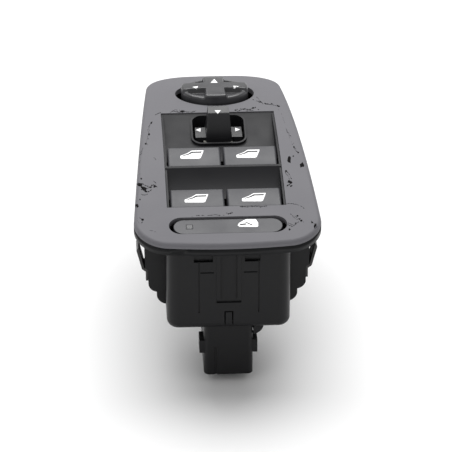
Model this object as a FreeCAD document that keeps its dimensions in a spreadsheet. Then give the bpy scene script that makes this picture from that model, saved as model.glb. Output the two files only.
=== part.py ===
import FreeCAD, Part
import math
import os
import Sketcher

# Driver's door switch panel: four window buttons, mirror knob, mirror selector and lockout button.
# Millimetres. +Z is up, out of the door trim, +Y runs to the far, narrow end and +X to the right.
# The origin is on the trim's surface, in the middle of the arched rim that rests on it.

doc = FreeCAD.newDocument("WindowSwitch")
sheet = doc.addObject("Spreadsheet::Sheet", "Dim")

DIMENSIONS = [
    # Panel outline and arch
    ("panel_length", 165.0), ("near_width", 79.4), ("far_width", 58.4), ("near_corner", 15.0),
    ("far_corner", 22.0), ("near_bow", 260.0), ("far_bow", 130.0), ("arch_radius", 336.0),
    ("rim_height", 5.0), ("panel_wall", 2.2), ("edge_round", 2.0), ("free_gap", 0.3), ("seat_gap", 0.05),
    # Recess, finger wells and window buttons
    ("recess_width", 49.6), ("recess_far", 23.7), ("recess_near", -58.2), ("well_sink", 0.5),
    ("well_wall", 1.6), ("crest_width", 1.6), ("button_side", 1.6), ("button_length", 14.6),
    ("button_height", 7.0), ("button_wall", 1.5), ("button_gap", 1.2), ("button_play", 0.8),
    ("front_lip", -12.3), ("row_pitch", 30.4), ("lip_sink", 0.6), ("rear_lip_sink", 1.9),
    ("cap_round", 1.0), ("scoop_depth", 7.2), ("scoop_front_round", 90.0), ("scoop_rear_round", 34.0),
    ("pivot_back", 9.4), ("pivot_sink", 5.4), ("pin_radius", 1.0), ("pin_play", 0.05),
    ("rocker_leg", 8.0), ("button_swing", 5.0),
    # Mirror knob
    ("knob_centre", 48.5), ("knob_hole", 17.6), ("knob_radius", 15.0), ("knob_rise", 4.2),
    ("knob_skirt", 5.2), ("knob_arm", 8.8), ("pocket_depth", 2.4), ("knob_rim", 2.3),
    ("stem_radius", 3.2), ("gimbal_radius", 8.6), ("gimbal_drop", 9.0), ("plate_drop", 12.2),
    ("gimbal_thick", 3.2), ("plate_radius", 7.6),
    # Mirror selector
    ("selector_width", 22.5), ("selector_near", 3.2), ("selector_far", 22.4), ("selector_corner", 4.0),
    ("lip_rise", 0.7), ("lip_drop", 1.2), ("lip_wall", 0.8), ("lever_width", 11.6),
    ("lever_top_width", 8.8), ("lever_near", 5.6), ("lever_length", 13.0), ("lever_top", 11.7),
    ("lever_pivot", -9.0), ("wing_top", 0.0), ("wing_length", 10.0), ("wing_back", 1.6),
    ("wing_side_gap", 1.1), ("wing_thick", 1.6),
    # Lockout button
    ("slot_centre", -70.2), ("slot_length", 49.0), ("slot_width", 10.6), ("slot_gap", 0.7),
    ("slot_end_gap", 1.9), ("lockout_sink", 0.7), ("lockout_height", 4.2), ("lockout_travel", 1.5),
    ("lens_side", 2.6),
    # Housing
    ("housing_front", -77.0), ("housing_step", -63.0), ("deep_end", -28.0), ("tray_end", 70.0),
    ("front_width", 51.5), ("front_corner", 5.0), ("body_inset", 10.8), ("shelf_inset", 13.4),
    ("step_inset", 20.4), ("tray_inset", 12.4), ("housing_top", -5.2), ("shelf_bottom", -26.0),
    ("step_bottom", -34.0), ("body_bottom", -43.0), ("front_bottom", -48.2), ("tray_bottom", -22.0),
    ("housing_wall", 2.0), ("rib_spacing", 8.6), ("rib_width", 1.7), ("rib_bottom", -34.0),
    ("tongue_width", 3.2), ("tongue_top", -40.0), ("saw_cut", 0.5),
    # Connector
    ("shroud_width", 20.6), ("shroud_length", 30.0), ("shroud_drop", 23.4), ("shroud_setback", 3.0),
    ("shroud_wall", 1.5), ("shroud_corner", 2.5), ("socket_floor", 3.0), ("pin_side", 0.64),
    ("pin_pitch", 2.54), ("pin_reach", 12.0),
    # Boards and what they carry
    ("board_top", -17.0), ("board_thick", 1.6), ("mat_thick", 0.8), ("dome_height", 1.4),
    ("dome_radius", 2.2), ("power_top", -38.0), ("relay_width", 9.6), ("relay_length", 15.0),
    ("relay_height", 13.0), ("slider_length", 9.0), ("slider_width", 6.0), ("slider_height", 2.6),
    ("screw_radius", 1.4), ("screw_head", 2.6),
    # Spring clips
    ("clip_thick", 1.0), ("clip_width", 9.0), ("clip_reach", 4.0), ("clip_height", 10.0),
    ("clip_root", -26.8), ("clip_foot", -32.6), ("clip_centre", -57.0),
]

for row, (alias, value) in enumerate(DIMENSIONS, start=1):
    sheet.set(f"A{row}", alias)
    sheet.set(f"B{row}", str(value))
    sheet.setAlias(f"B{row}", alias)
doc.recompute()

NODES = []


def value_of(expression):
    """Number that an expression on the sheet has now."""
    result = sheet.evalExpression(str(expression))
    return float(getattr(result, "Value", result))


def tie(thing, **expressions):
    """Bind properties to expressions; base_x, base_y and base_z bind the placement."""
    for name, expression in expressions.items():
        if name.startswith("base_"):
            name = "Placement.Base." + name[-1]
        thing.setExpression(name, str(expression))
    return thing


def keep(thing, label):
    """Name a finished sub-part; its file takes the same name."""
    thing.Label = label
    NODES.append(thing)
    return thing


def box(name, x, y, z, length, width, height):
    """Box between a lowest corner and its three sizes."""
    thing = doc.addObject("Part::Box", name)
    return tie(thing, base_x=x, base_y=y, base_z=z, Length=length, Width=width, Height=height)


def centred_box(name, x, y, z, length, width, height):
    """Box with its middle in plan at x, y and its underside at z."""
    return box(name, f"{x} - ({length}) / 2", f"{y} - ({width}) / 2", z, length, width, height)


def upright(name, x, y, z, radius, height):
    """Cylinder that stands on z."""
    thing = doc.addObject("Part::Cylinder", name)
    return tie(thing, base_x=x, base_y=y, base_z=z, Radius=radius, Height=height)


def crosswise(name, x, y, z, radius, length):
    """Cylinder along X, from x."""
    thing = doc.addObject("Part::Cylinder", name)
    thing.Placement = FreeCAD.Placement(FreeCAD.Vector(), FreeCAD.Rotation(FreeCAD.Vector(0, 1, 0), 90))
    return tie(thing, base_x=x, base_y=y, base_z=z, Radius=radius, Height=length)


def lengthwise(name, x, y, z, radius, length):
    """Cylinder along Y, from y."""
    thing = doc.addObject("Part::Cylinder", name)
    thing.Placement = FreeCAD.Placement(FreeCAD.Vector(), FreeCAD.Rotation(FreeCAD.Vector(1, 0, 0), -90))
    return tie(thing, base_x=x, base_y=y, base_z=z, Radius=radius, Height=length)


def fuse(name, *shapes):
    """One solid from several."""
    thing = doc.addObject("Part::MultiFuse", name)
    thing.Shapes = list(shapes)
    thing.Refine = True
    return thing


def group(name, *shapes):
    """Separate like solids that share a node."""
    thing = doc.addObject("Part::Compound", name)
    thing.Links = list(shapes)
    return thing


def common(name, first, second):
    """What two solids share."""
    thing = doc.addObject("Part::MultiCommon", name)
    thing.Shapes = [first, second]
    return thing


def cut(name, base, *tools):
    """A solid less one tool, or less several that are joined first."""
    thing = doc.addObject("Part::Cut", name)
    thing.Base = base
    thing.Tool = tools[0] if len(tools) == 1 else fuse(name + "Tools", *tools)
    thing.Refine = True
    return thing


def sketch_of(body, name, plane, corners):
    """Closed sketch on one of the body's own planes.

    A corner is (u, v) or (u, v, radius, side): then the edge that leaves it is an arc of that radius, which
    bulges to the left of its way for side +1 and to the right for side -1.
    """
    sketch = body.newObject("Sketcher::SketchObject", name)
    sketch.AttachmentSupport = [([item for item in body.Origin.OriginFeatures if item.Role == plane][0], "")]
    sketch.MapMode = "FlatFace"
    spots = [FreeCAD.Vector(value_of(corner[0]), value_of(corner[1]), 0) for corner in corners]
    for index, corner in enumerate(corners):
        start = spots[index]
        end = spots[(index + 1) % len(spots)]
        if len(corner) == 2:
            sketch.addGeometry(Part.LineSegment(start, end))
            continue
        chord = end - start
        left = FreeCAD.Vector(-chord.y, chord.x, 0).normalize()
        radius = value_of(corner[2])
        depth = math.sqrt(radius ** 2 - (chord.Length / 2) ** 2)
        centre = (start + end) * 0.5 - left * depth * corner[3]
        circle = Part.Circle(centre, FreeCAD.Vector(0, 0, 1), radius)
        first, last = (end, start) if corner[3] > 0 else (start, end)
        angles = [math.atan2(spot.y - centre.y, spot.x - centre.x) for spot in (first, last)]
        sketch.addGeometry(Part.ArcOfCircle(circle, angles[0], angles[1]))
    ends = [(2, 1) if len(corner) > 2 and corner[3] > 0 else (1, 2) for corner in corners]
    for index, corner in enumerate(corners):
        after = (index + 1) % len(corners)
        sketch.addConstraint(Sketcher.Constraint("Coincident", index, ends[index][1], after, ends[after][0]))
        for way, expression in (("DistanceX", corner[0]), ("DistanceY", corner[1])):
            start = getattr(spots[index], way[-1].lower())
            number = sketch.addConstraint(Sketcher.Constraint(way, -1, 1, index, ends[index][0], start))
            sketch.renameConstraint(number, f"{way}{index}")
            sketch.setExpression(f"Constraints.{way}{index}", str(expression))
        if len(corner) > 2:
            number = sketch.addConstraint(Sketcher.Constraint("Radius", index, value_of(corner[2])))
            sketch.renameConstraint(number, f"Round{index}")
            sketch.setExpression(f"Constraints.Round{index}", str(corner[2]))
    return sketch


def padded(name, plane, corners, length, start="0"):
    """Body made by padding one closed outline.

    The pad runs up from start on XY_Plane, from the middle both ways along X on YZ_Plane, and from start
    towards +Y on XZ_Plane, whose own normal points the other way.
    """
    body = doc.addObject("PartDesign::Body", name)
    sketch = sketch_of(body, name + "Outline", plane, corners)
    pad = body.newObject("PartDesign::Pad", name + "Pad")
    pad.Profile = sketch
    pad.setExpression("Length", str(length))
    if plane == "YZ_Plane":
        pad.SideType = "Symmetric"
        sketch.setExpression("AttachmentOffset.Base.z", str(start))
    elif plane == "XY_Plane":
        sketch.setExpression("AttachmentOffset.Base.z", str(start))
    else:
        pad.Reversed = True
        sketch.setExpression("AttachmentOffset.Base.z", f"-({start})")
    return body


def rounded(body, name, radius, wanted):
    """Fillet the body's edges that the test names, by a radius on the sheet."""
    doc.recompute()
    shape = body.Tip.Shape
    names = [f"Edge{index}" for index, edge in enumerate(shape.Edges, start=1) if wanted(edge)]
    fillet = body.newObject("PartDesign::Fillet", name)
    fillet.Base = (body.Tip if body.Tip != fillet else fillet.BaseFeature, names)
    fillet.setExpression("Radius", str(radius))
    body.Tip = fillet
    return fillet


def is_upright(edge):
    """True for a straight edge along Z."""
    first, last = edge.Vertexes[0].Point, edge.Vertexes[-1].Point
    return math.hypot(first.x - last.x, first.y - last.y) < 1e-4 and abs(first.z - last.z) > 1e-3


def arch(y, drop="0"):
    """Height of the arched top at y, or of the like surface a drop below it."""
    return f"(Dim.rim_height - Dim.arch_radius + sqrt((Dim.arch_radius - ({drop}))^2 - ({y})^2))"


def on_arch(thing, y, forward):
    """Stand a piece on the arch at y, leaning with its surface; its own z = 0 is that surface."""
    thing.Placement = FreeCAD.Placement(FreeCAD.Vector(), FreeCAD.Rotation(FreeCAD.Vector(-forward, 0, 0), 1))
    lean = f"asin({forward} * ({y}) / Dim.arch_radius)"
    thing.setExpression("Placement.Rotation.Angle", lean)
    return tie(thing, base_y=y, base_z=arch(y))


def arch_pocket(body, name, drop, above):
    """Cut the body away above, or below, the arched surface a drop under the top."""
    reach = "Dim.panel_length / 2 + 6"
    height = arch(reach, drop)
    if above:
        corners = [(f"-({reach})", height, f"Dim.arch_radius - ({drop})", 1), (reach, height),
                   (reach, "60"), (f"-({reach})", "60")]
    else:
        corners = [(f"-({reach})", "-80"), (reach, "-80"),
                   (reach, height, f"Dim.arch_radius - ({drop})", -1), (f"-({reach})", height)]
    pocket_sketch = sketch_of(body, name + "Outline", "YZ_Plane", corners)
    pocket = body.newObject("PartDesign::Pocket", name)
    pocket.Profile = pocket_sketch
    pocket.SideType = "Symmetric"
    pocket.setExpression("Length", "Dim.near_width * 2")
    body.Tip = pocket
    return pocket


def panel_prism(name, inset):
    """Upright prism of the panel's outline, drawn in by an inset."""
    near_y = ("-Dim.panel_length / 2 + Dim.near_bow - sqrt(Dim.near_bow^2 - (Dim.near_width / 2)^2)"
              f" + {inset}")
    far_y = ("Dim.panel_length / 2 - Dim.far_bow + sqrt(Dim.far_bow^2 - (Dim.far_width / 2)^2)"
             f" - {inset}")
    near_x = f"(Dim.near_width / 2 - {inset})"
    far_x = f"(Dim.far_width / 2 - {inset})"
    corners = [(f"-{near_x}", near_y, "Dim.near_bow", -1), (near_x, near_y),
               (far_x, far_y, "Dim.far_bow", -1), (f"-{far_x}", far_y)]
    body = padded(name, "XY_Plane", corners, "Dim.rim_height + 71", "-70")
    rounded(body, name + "Near", f"Dim.near_corner - {inset}",
            lambda edge: is_upright(edge) and edge.CenterOfMass.y < 0)
    rounded(body, name + "Far", f"Dim.far_corner - {inset}",
            lambda edge: is_upright(edge) and edge.CenterOfMass.y > 0)
    return body


def rounded_bar(name, x, y, z, length, width, height, corner):
    """Bar centred in plan at x, y, standing on z, with rounded upright corners."""
    half_x, half_y = f"({length}) / 2", f"({width}) / 2"
    corners = [(f"{x} - {half_x}", f"{y} - {half_y}"), (f"{x} + {half_x}", f"{y} - {half_y}"),
               (f"{x} + {half_x}", f"{y} + {half_y}"), (f"{x} - {half_x}", f"{y} + {half_y}")]
    body = padded(name, "XY_Plane", corners, height, z)
    rounded(body, name + "Corners", corner, is_upright)
    return body


def stadium(name, y, z, length, width, height):
    """Bar with fully rounded ends, long along X, standing on z."""
    half_run, end = f"(({length}) - ({width})) / 2", f"(({width}) / 2)"
    corners = [(f"-{half_run}", f"{y} - {end}"), (half_run, f"{y} - {end}", f"{end} * 1.0001", -1),
               (half_run, f"{y} + {end}"), (f"-{half_run}", f"{y} + {end}", f"{end} * 1.0001", -1)]
    return padded(name, "XY_Plane", corners, height, z)


# Bezel: an arched shell with a knob hole, a recess and a slot
shell = panel_prism("BezelBlock", "0")
arch_pocket(shell, "BezelTop", "0", True)
doc.recompute()


def on_top_rim(edge):
    """True for an edge of the arched top."""
    spots = edge.discretize(5)
    return all(abs(spot.z - value_of(arch(spot.y))) < 1e-3 for spot in spots)


rounded(shell, "BezelEdge", "Dim.edge_round", on_top_rim)
arch_pocket(shell, "BezelUnder", "Dim.rim_height", False)
hollow = panel_prism("BezelCore", "Dim.panel_wall")
arch_pocket(hollow, "BezelCoreTop", "Dim.panel_wall", True)
knob_opening = on_arch(upright("KnobHole", "0", "0", "0", "Dim.knob_hole", "Dim.rim_height * 2"),
                       "Dim.knob_centre", 1)
knob_opening = tie(knob_opening, base_z=arch("Dim.knob_centre") + " - Dim.rim_height")
recess = box("Recess", "-Dim.recess_width / 2", "Dim.recess_near", "-30", "Dim.recess_width",
             "Dim.recess_far - Dim.recess_near", "60")
slot = stadium("Slot", "0", "-Dim.rim_height * 2", "Dim.slot_length", "Dim.slot_width", "Dim.rim_height * 4")
on_arch(slot, "Dim.slot_centre", -1)
keep(cut("Bezel", shell, hollow, knob_opening, recess, slot), "bezel")

# Finger well: scoops, crest, side walls and the selector's raised lip
cap_width = "((Dim.recess_width - Dim.button_gap) / 2 - Dim.button_side)"
rear_lip = "(Dim.front_lip - Dim.row_pitch)"
front_near = "(Dim.front_lip - Dim.button_length)"
crest_far = f"({front_near} - Dim.button_play)"
crest_near = f"({crest_far} - Dim.crest_width)"
well_width = "(Dim.recess_width - Dim.free_gap)"
deck_top = "(Dim.housing_top - 2.3)"


def scoop(name, far_y, far_z, lip_y, radius):
    """Concave sheet that falls from a crest to the space under a button's lip."""
    low_y = f"({lip_y} + Dim.button_play)"
    low_z = f"({arch(lip_y)} - Dim.scoop_depth)"
    corners = [(far_y, far_z, radius, 1), (low_y, low_z), (low_y, f"{low_z} - Dim.well_wall", radius, -1),
               (far_y, f"{far_z} - Dim.well_wall")]
    return padded(name, "YZ_Plane", corners, well_width)


front_scoop = scoop("FrontScoop", "Dim.recess_far - Dim.free_gap", arch("Dim.recess_far") + " - Dim.well_sink",
                    "Dim.front_lip", "Dim.scoop_front_round")
rear_scoop = scoop("RearScoop", crest_near, arch(crest_near), rear_lip, "Dim.scoop_rear_round")
crest = box("Crest", f"-{well_width} / 2", crest_near, deck_top, well_width, "Dim.crest_width",
            arch(crest_near) + f" - {deck_top}")
sides = []
for side_name, side_x in (("Left", f"-{well_width} / 2"), ("Right", f"{well_width} / 2 - 0.8")):
    plate = box(f"Well{side_name}Plate", side_x, "Dim.recess_near + Dim.free_gap", deck_top, "0.8",
                "Dim.recess_far - Dim.recess_near - 2 * Dim.free_gap", "20")
    under_arch = crosswise(f"Well{side_name}Arch", "-Dim.near_width", "0", "Dim.rim_height - Dim.arch_radius",
                           "Dim.arch_radius - Dim.well_sink", "Dim.near_width * 2")
    sides.append(common(f"Well{side_name}Wall", plate, under_arch))
selector_middle = "((Dim.selector_near + Dim.selector_far) / 2)"
selector_reach = "(Dim.selector_far - Dim.selector_near)"
lip_outer = rounded_bar("LipOuter", "0", selector_middle, "-3.2", "Dim.selector_width + 2 * Dim.lip_wall",
                        f"{selector_reach} + 2 * Dim.lip_wall", "12", "Dim.selector_corner + Dim.lip_wall")
lip_near_z = f"({arch('Dim.recess_far')} - Dim.scoop_depth / 2 + Dim.lip_rise / 2 - Dim.lip_wall / 2)"
lip_slope = padded("LipSlope", "YZ_Plane",
                   [("Dim.selector_near - 3", "-4"), ("Dim.selector_far + 3", "-4"),
                    ("Dim.selector_far + 3", arch("Dim.recess_far") + " - Dim.well_sink"),
                    ("Dim.selector_near - 3", f"{lip_near_z} - Dim.lip_rise / 2 - Dim.lip_drop")], "Dim.recess_width")
lip = common("Lip", lip_outer, lip_slope)
selector_hole = rounded_bar("SelectorHole", "0", selector_middle, "-20", "Dim.selector_width", selector_reach,
                            "40", "Dim.selector_corner")
pin_tools = []
pivots = {}
for row_name, lip_y in (("Front", "Dim.front_lip"), ("Rear", rear_lip)):
    row_y = f"({lip_y} - Dim.pivot_back)"
    pivots[row_name] = (row_y, f"({arch(row_y)} - Dim.pivot_sink)")
    pin_tools.append(crosswise(f"WellPinHole{row_name}", "-Dim.near_width / 2", *pivots[row_name],
                               "Dim.pin_radius", "Dim.near_width"))
keep(cut("FingerWell", fuse("WellSolid", front_scoop, rear_scoop, crest, *sides, lip), selector_hole,
         *pin_tools), "finger_well")

# Pivot pins, one for each row of buttons
for row_name, node in (("Front", "front_pivot_pin"), ("Rear", "rear_pivot_pin")):
    keep(crosswise(f"Pin{row_name}", "-Dim.recess_width / 2", *pivots[row_name], "Dim.pin_radius",
                   "Dim.recess_width"), node)

# Window buttons, their rockers and the sliders that they push
mat_top = "(Dim.board_top + Dim.mat_thick)"
slider_base = f"({mat_top} + Dim.seat_gap)"
for row_name, lip_y in (("Front", "Dim.front_lip"), ("Rear", rear_lip)):
    pivot_y, pivot_z = pivots[row_name]
    near_y = f"({lip_y} - Dim.button_length)"
    lip_drop = "-Dim.lip_sink / 2" if row_name == "Front" else "Dim.rear_lip_sink"
    lip_z = f"({arch(lip_y)} - ({lip_drop}))"
    near_z = f"({arch(near_y)} - Dim.lip_sink * 1.4)"
    for side_name, way in (("Left", "-1"), ("Right", "1")):
        tag = row_name + side_name
        node = f"{row_name.lower()}_{side_name.lower()}"
        centre_x = f"({way} * ({cap_width} + Dim.button_gap) / 2)"
        cap = padded(f"Cap{tag}", "YZ_Plane",
                     [(near_y, f"{lip_z} - Dim.button_height"), (lip_y, f"{lip_z} - Dim.button_height"),
                      (lip_y, lip_z, "Dim.button_length * 4", -1), (near_y, near_z)],
                     cap_width, centre_x)
        crown_low = value_of(near_z) - 0.5
        rounded(cap, f"Cap{tag}Edges", "Dim.cap_round", lambda edge: edge.CenterOfMass.z > crown_low)
        roof = f"({near_z} - Dim.button_wall)"
        inside = centred_box(f"Cap{tag}Inside", centre_x, f"{lip_y} - Dim.button_length / 2", f"{roof} - 20",
                             f"{cap_width} - 2 * Dim.button_wall", "Dim.button_length - 2 * Dim.button_wall",
                             "20")
        pin_way = crosswise(f"Cap{tag}PinWay", "-Dim.recess_width", pivot_y, pivot_z,
                            "Dim.pin_radius + Dim.free_gap", "Dim.recess_width * 2")
        keep(cut(f"Button{tag}", cap, inside, pin_way), f"window_button_{node}")
        block = centred_box(f"Rocker{tag}Block", centre_x, pivot_y, f"{pivot_z} - 2.4",
                            f"{cap_width} - 2 * Dim.button_wall", "5.0", f"{roof} - ({pivot_z} - 2.4)")
        leg = centred_box(f"Rocker{tag}Leg", centre_x, pivot_y, f"{slider_base} + 0.6", "4.0", "1.6",
                          f"{pivot_z} - ({slider_base} + 0.6)")
        bore = crosswise(f"Rocker{tag}Bore", "-Dim.recess_width", pivot_y, pivot_z,
                         "Dim.pin_radius + Dim.pin_play", "Dim.recess_width * 2")
        keep(cut(f"Rocker{tag}", fuse(f"Rocker{tag}Solid", block, leg), bore), f"window_rocker_{node}")
        slide_block = centred_box(f"Slider{tag}Block", centre_x, pivot_y, slider_base, "Dim.slider_width",
                                  "Dim.slider_length", "Dim.slider_height")
        leg_slot = centred_box(f"Slider{tag}Slot", centre_x, pivot_y, slider_base + " - 1",
                               "4.0 + 2 * Dim.free_gap", "1.6 + 2 * Dim.free_gap", "Dim.slider_height + 2")
        keep(cut(f"Slider{tag}", slide_block, leg_slot), f"window_slider_{node}")

# Mirror knob, its stem with a tilt plate, and the gimbal that carries it
knob_top = "Dim.knob_rise"
knob_drum = upright("KnobDrum", "0", "0", "-Dim.knob_skirt", "Dim.knob_radius",
                    "Dim.knob_skirt + Dim.knob_rise")
cross_x = centred_box("KnobCrossX", "0", "0", "-10", "60", "Dim.knob_arm", "40")
cross_y = centred_box("KnobCrossY", "0", "0", "-10", "Dim.knob_arm", "60", "40")
pocket_round = upright("KnobPocketRound", "0", "0", f"{knob_top} - Dim.pocket_depth",
                       "Dim.knob_radius - Dim.knob_rim", "20")
rim_round = upright("KnobRimRound", "0", "0", f"{knob_top} - Dim.pocket_depth / 2", "Dim.knob_radius * 2", "20")
arms = fuse("KnobArms", cross_x, cross_y)
pockets = cut("KnobPockets", fuse("KnobPocketBoth", pocket_round, rim_round), arms)
knob_hollow = upright("KnobHollow", "0", "0", "-Dim.knob_skirt - 1", "Dim.knob_radius - Dim.button_wall",
                      "Dim.knob_skirt + 1 + Dim.knob_rise - Dim.pocket_depth - Dim.button_wall")
keep(on_arch(cut("Knob", knob_drum, pockets, knob_hollow), "Dim.knob_centre", 1),
     "mirror_knob")
stem_top = "(Dim.knob_rise - Dim.pocket_depth - Dim.button_wall)"
stem_rod = upright("StemRod", "0", "0", "-Dim.plate_drop", "Dim.stem_radius", f"{stem_top} + Dim.plate_drop")
plate = upright("StemPlate", "0", "0", "-Dim.plate_drop - 1.2", "Dim.plate_radius", "1.2")
stem_hole = lengthwise("StemPinHole", "0", "-20", "-Dim.gimbal_drop", "Dim.pin_radius", "40")
keep(on_arch(cut("Stem", fuse("StemSolid", stem_rod, plate), stem_hole), "Dim.knob_centre", 1), "knob_stem")
keep(on_arch(group("StemPinHolder", lengthwise("StemPin", "0", "-(Dim.gimbal_radius - 0.6)", "-Dim.gimbal_drop",
                                               "Dim.pin_radius", "2 * (Dim.gimbal_radius - 0.6)")),
             "Dim.knob_centre", 1), "knob_tilt_pin")
ring = cut("GimbalRing", upright("GimbalOuter", "0", "0", "-Dim.gimbal_drop - Dim.gimbal_thick / 2",
                                 "Dim.gimbal_radius", "Dim.gimbal_thick"),
           upright("GimbalInner", "0", "0", "-30", "Dim.gimbal_radius - 3.2", "60"))
trunnions = cut("GimbalTrunnions", crosswise("GimbalRod", "-Dim.gimbal_radius - 3.4", "0", "-Dim.gimbal_drop",
                                             "Dim.pin_radius", "2 * (Dim.gimbal_radius + 3.4)"),
                upright("GimbalRodGap", "0", "0", "-30", "Dim.gimbal_radius - 3.2", "60"))
gimbal_hole = lengthwise("GimbalPinHole", "0", "-20", "-Dim.gimbal_drop", "Dim.pin_radius + Dim.pin_play", "40")
keep(on_arch(cut("Gimbal", fuse("GimbalSolid", ring, trunnions), gimbal_hole), "Dim.knob_centre", 1),
     "knob_gimbal")

# Mirror selector: a lever with wing plates on a pin along Y, held in a cradle that tips about X
lever_y = "(Dim.lever_near + Dim.lever_length / 2)"
foot = "(Dim.wing_top - Dim.wing_thick)"
tab = padded("LeverTab", "YZ_Plane",
             [("Dim.lever_near", foot, "Dim.lever_top * 2", 1), ("Dim.lever_near + 4.4", "Dim.lever_top - 1.4"),
              ("Dim.lever_near + 9.6", "Dim.lever_top", "Dim.lever_top * 3.6", 1),
              ("Dim.lever_near + Dim.lever_length", foot)], "Dim.lever_width")
rounded(tab, "LeverTabEdges", "1.3", lambda edge: edge.BoundBox.ZMax > value_of(foot) + 0.5)
taper = padded("LeverTaper", "XZ_Plane",
               [("-Dim.lever_width / 2", foot), ("Dim.lever_width / 2", foot),
                ("Dim.lever_top_width / 2", "Dim.lever_top + 1"),
                ("-Dim.lever_top_width / 2", "Dim.lever_top + 1")],
               "200")
tab = common("LeverTabTapered", tab, taper)
wings = centred_box("LeverWings", "0", "Dim.lever_near + Dim.wing_back + Dim.wing_length / 2", foot,
                    "Dim.selector_width - 2 * Dim.wing_side_gap", "Dim.wing_length", "Dim.wing_thick")
post = centred_box("LeverPost", "0", lever_y, "Dim.lever_pivot", "4.0", "8.0",
                   f"{foot} + 0.5 - Dim.lever_pivot")
hub = lengthwise("LeverHub", "0", f"{lever_y} - 6.6", "Dim.lever_pivot", "2.4", "13.2")
toe = centred_box("LeverToe", "0", lever_y, f"{slider_base} + 0.6", "1.6", "4.0",
                  f"Dim.lever_pivot - ({slider_base} + 0.6)")
lever_bore = lengthwise("LeverBore", "0", "-20", "Dim.lever_pivot", "Dim.pin_radius + Dim.pin_play", "60")
keep(cut("Lever", fuse("LeverSolid", tab, wings, post, hub, toe), lever_bore), "selector_lever")
keep(lengthwise("LeverPin", "0", f"{lever_y} - 8.4", "Dim.lever_pivot", "Dim.pin_radius", "16.8"),
     "selector_pin")
cradle_block = centred_box("CradleBlock", "0", lever_y, "Dim.lever_pivot - 2.4", "12.6", "16.8", "4.8")
cradle_rod = crosswise("CradleRod", "-9.6", lever_y, "Dim.lever_pivot", "Dim.pin_radius", "19.2")
cradle_inside = centred_box("CradleInside", "0", lever_y, "Dim.lever_pivot - 10", "9.4", "13.8", "20")
cradle_pin = lengthwise("CradlePinHole", "0", "-20", "Dim.lever_pivot", "Dim.pin_radius", "60")
keep(cut("Cradle", fuse("CradleSolid", cradle_block, cradle_rod), cradle_inside, cradle_pin), "selector_cradle")
selector_block = centred_box("SelectorBlock", "0", lever_y, slider_base, "Dim.slider_length", "Dim.slider_length",
                             "Dim.slider_height")
selector_slot = centred_box("SelectorSlot", "0", lever_y, slider_base + " - 1", "1.6 + 2 * Dim.free_gap",
                            "4.0 + 2 * Dim.free_gap + 1.4", "Dim.slider_height + 2")
keep(cut("SelectorSlider", selector_block, selector_slot), "selector_slider")

# Lockout button with its indicator lens and stem
lock_top = "-Dim.lockout_sink"
lock_low = "(-Dim.lockout_sink - Dim.lockout_height)"
lock_body = stadium("LockBody", "0", lock_low, "Dim.slot_length - 2 * Dim.slot_end_gap",
                    "Dim.slot_width - 2 * Dim.slot_gap", "Dim.lockout_height")
lens_x = "(-Dim.slot_length * 0.325)"
lens_seat = centred_box("LensSeat", lens_x, "0", f"{lock_top} - 1.2", "Dim.lens_side", "Dim.lens_side", "3")
lock_inside = stadium("LockInside", "0", f"{lock_low} - 1", "Dim.slot_length - 2 * Dim.slot_end_gap - 3",
                      "Dim.slot_width - 2 * Dim.slot_gap - 3", "Dim.lockout_height + 1 - Dim.button_wall * 1.4")
keep(on_arch(cut("Lockout", lock_body, lens_seat, lock_inside), "Dim.slot_centre", -1), "lockout_button")
keep(on_arch(group("LensHolder", centred_box("Lens", lens_x, "0", f"{lock_top} - 1.15", "Dim.lens_side - 0.1",
                                             "Dim.lens_side - 0.1", "1.15")), "Dim.slot_centre", -1),
     "lockout_indicator")
stem_low = f"({mat_top} + Dim.dome_height + 1.9 - {arch('Dim.slot_centre')})"
lock_stem = centred_box("LockStem", "0", "0", stem_low, "12", "3.6",
                        f"{lock_top} - Dim.button_wall * 1.4 - {stem_low}")
keep(on_arch(group("LockStemHolder", lock_stem), "Dim.slot_centre", -1), "lockout_stem")

# Switch frame: the deck under the panel that carries every pivot
deck_low = f"({deck_top} - 1.5)"
tray_half = "((Dim.far_width - Dim.tray_inset) / 2 - Dim.housing_wall - Dim.free_gap)"
body_half = "((Dim.near_width - Dim.shelf_inset) / 2 - Dim.housing_wall - Dim.free_gap)"
front_half = "(Dim.front_width / 2 - Dim.front_corner)"


def three_part_plate(name, low, thick, inset, front_drop="0"):
    """Plate in plan like the inside of the housing: front block, which may lie lower, body and far tray."""
    riser_y = "Dim.housing_step + Dim.housing_wall + Dim.free_gap"
    front_start = f"(Dim.housing_front + Dim.housing_wall + {inset} + Dim.free_gap)"
    front = box(f"{name}Front", f"-{front_half} + {inset}", front_start, f"{low} - {front_drop}",
                f"2 * ({front_half} - {inset})", f"{riser_y} + 1.5 - {front_start}", thick)
    riser = box(f"{name}Riser", f"-{front_half} + {inset}", f"{riser_y} + {inset}", f"{low} - {front_drop}",
                f"2 * ({front_half} - {inset})", f"1.5 - {inset}", f"{front_drop} + {thick}")
    wide = box(f"{name}Wide", f"-{body_half} + {inset}",
               f"Dim.housing_step + Dim.housing_wall + Dim.free_gap + {inset}", low,
               f"2 * ({body_half} - {inset})",
               f"Dim.deep_end - Dim.housing_step - 2 * (Dim.housing_wall + Dim.free_gap + {inset})", thick)
    far = box(f"{name}Far", f"-{tray_half} + {inset}", "Dim.deep_end - 20", low, f"2 * ({tray_half} - {inset})",
              f"Dim.tray_end - Dim.deep_end + 20 - Dim.housing_wall - Dim.free_gap - {inset}", thick)
    return fuse(name, front, riser, wide, far)


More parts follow.
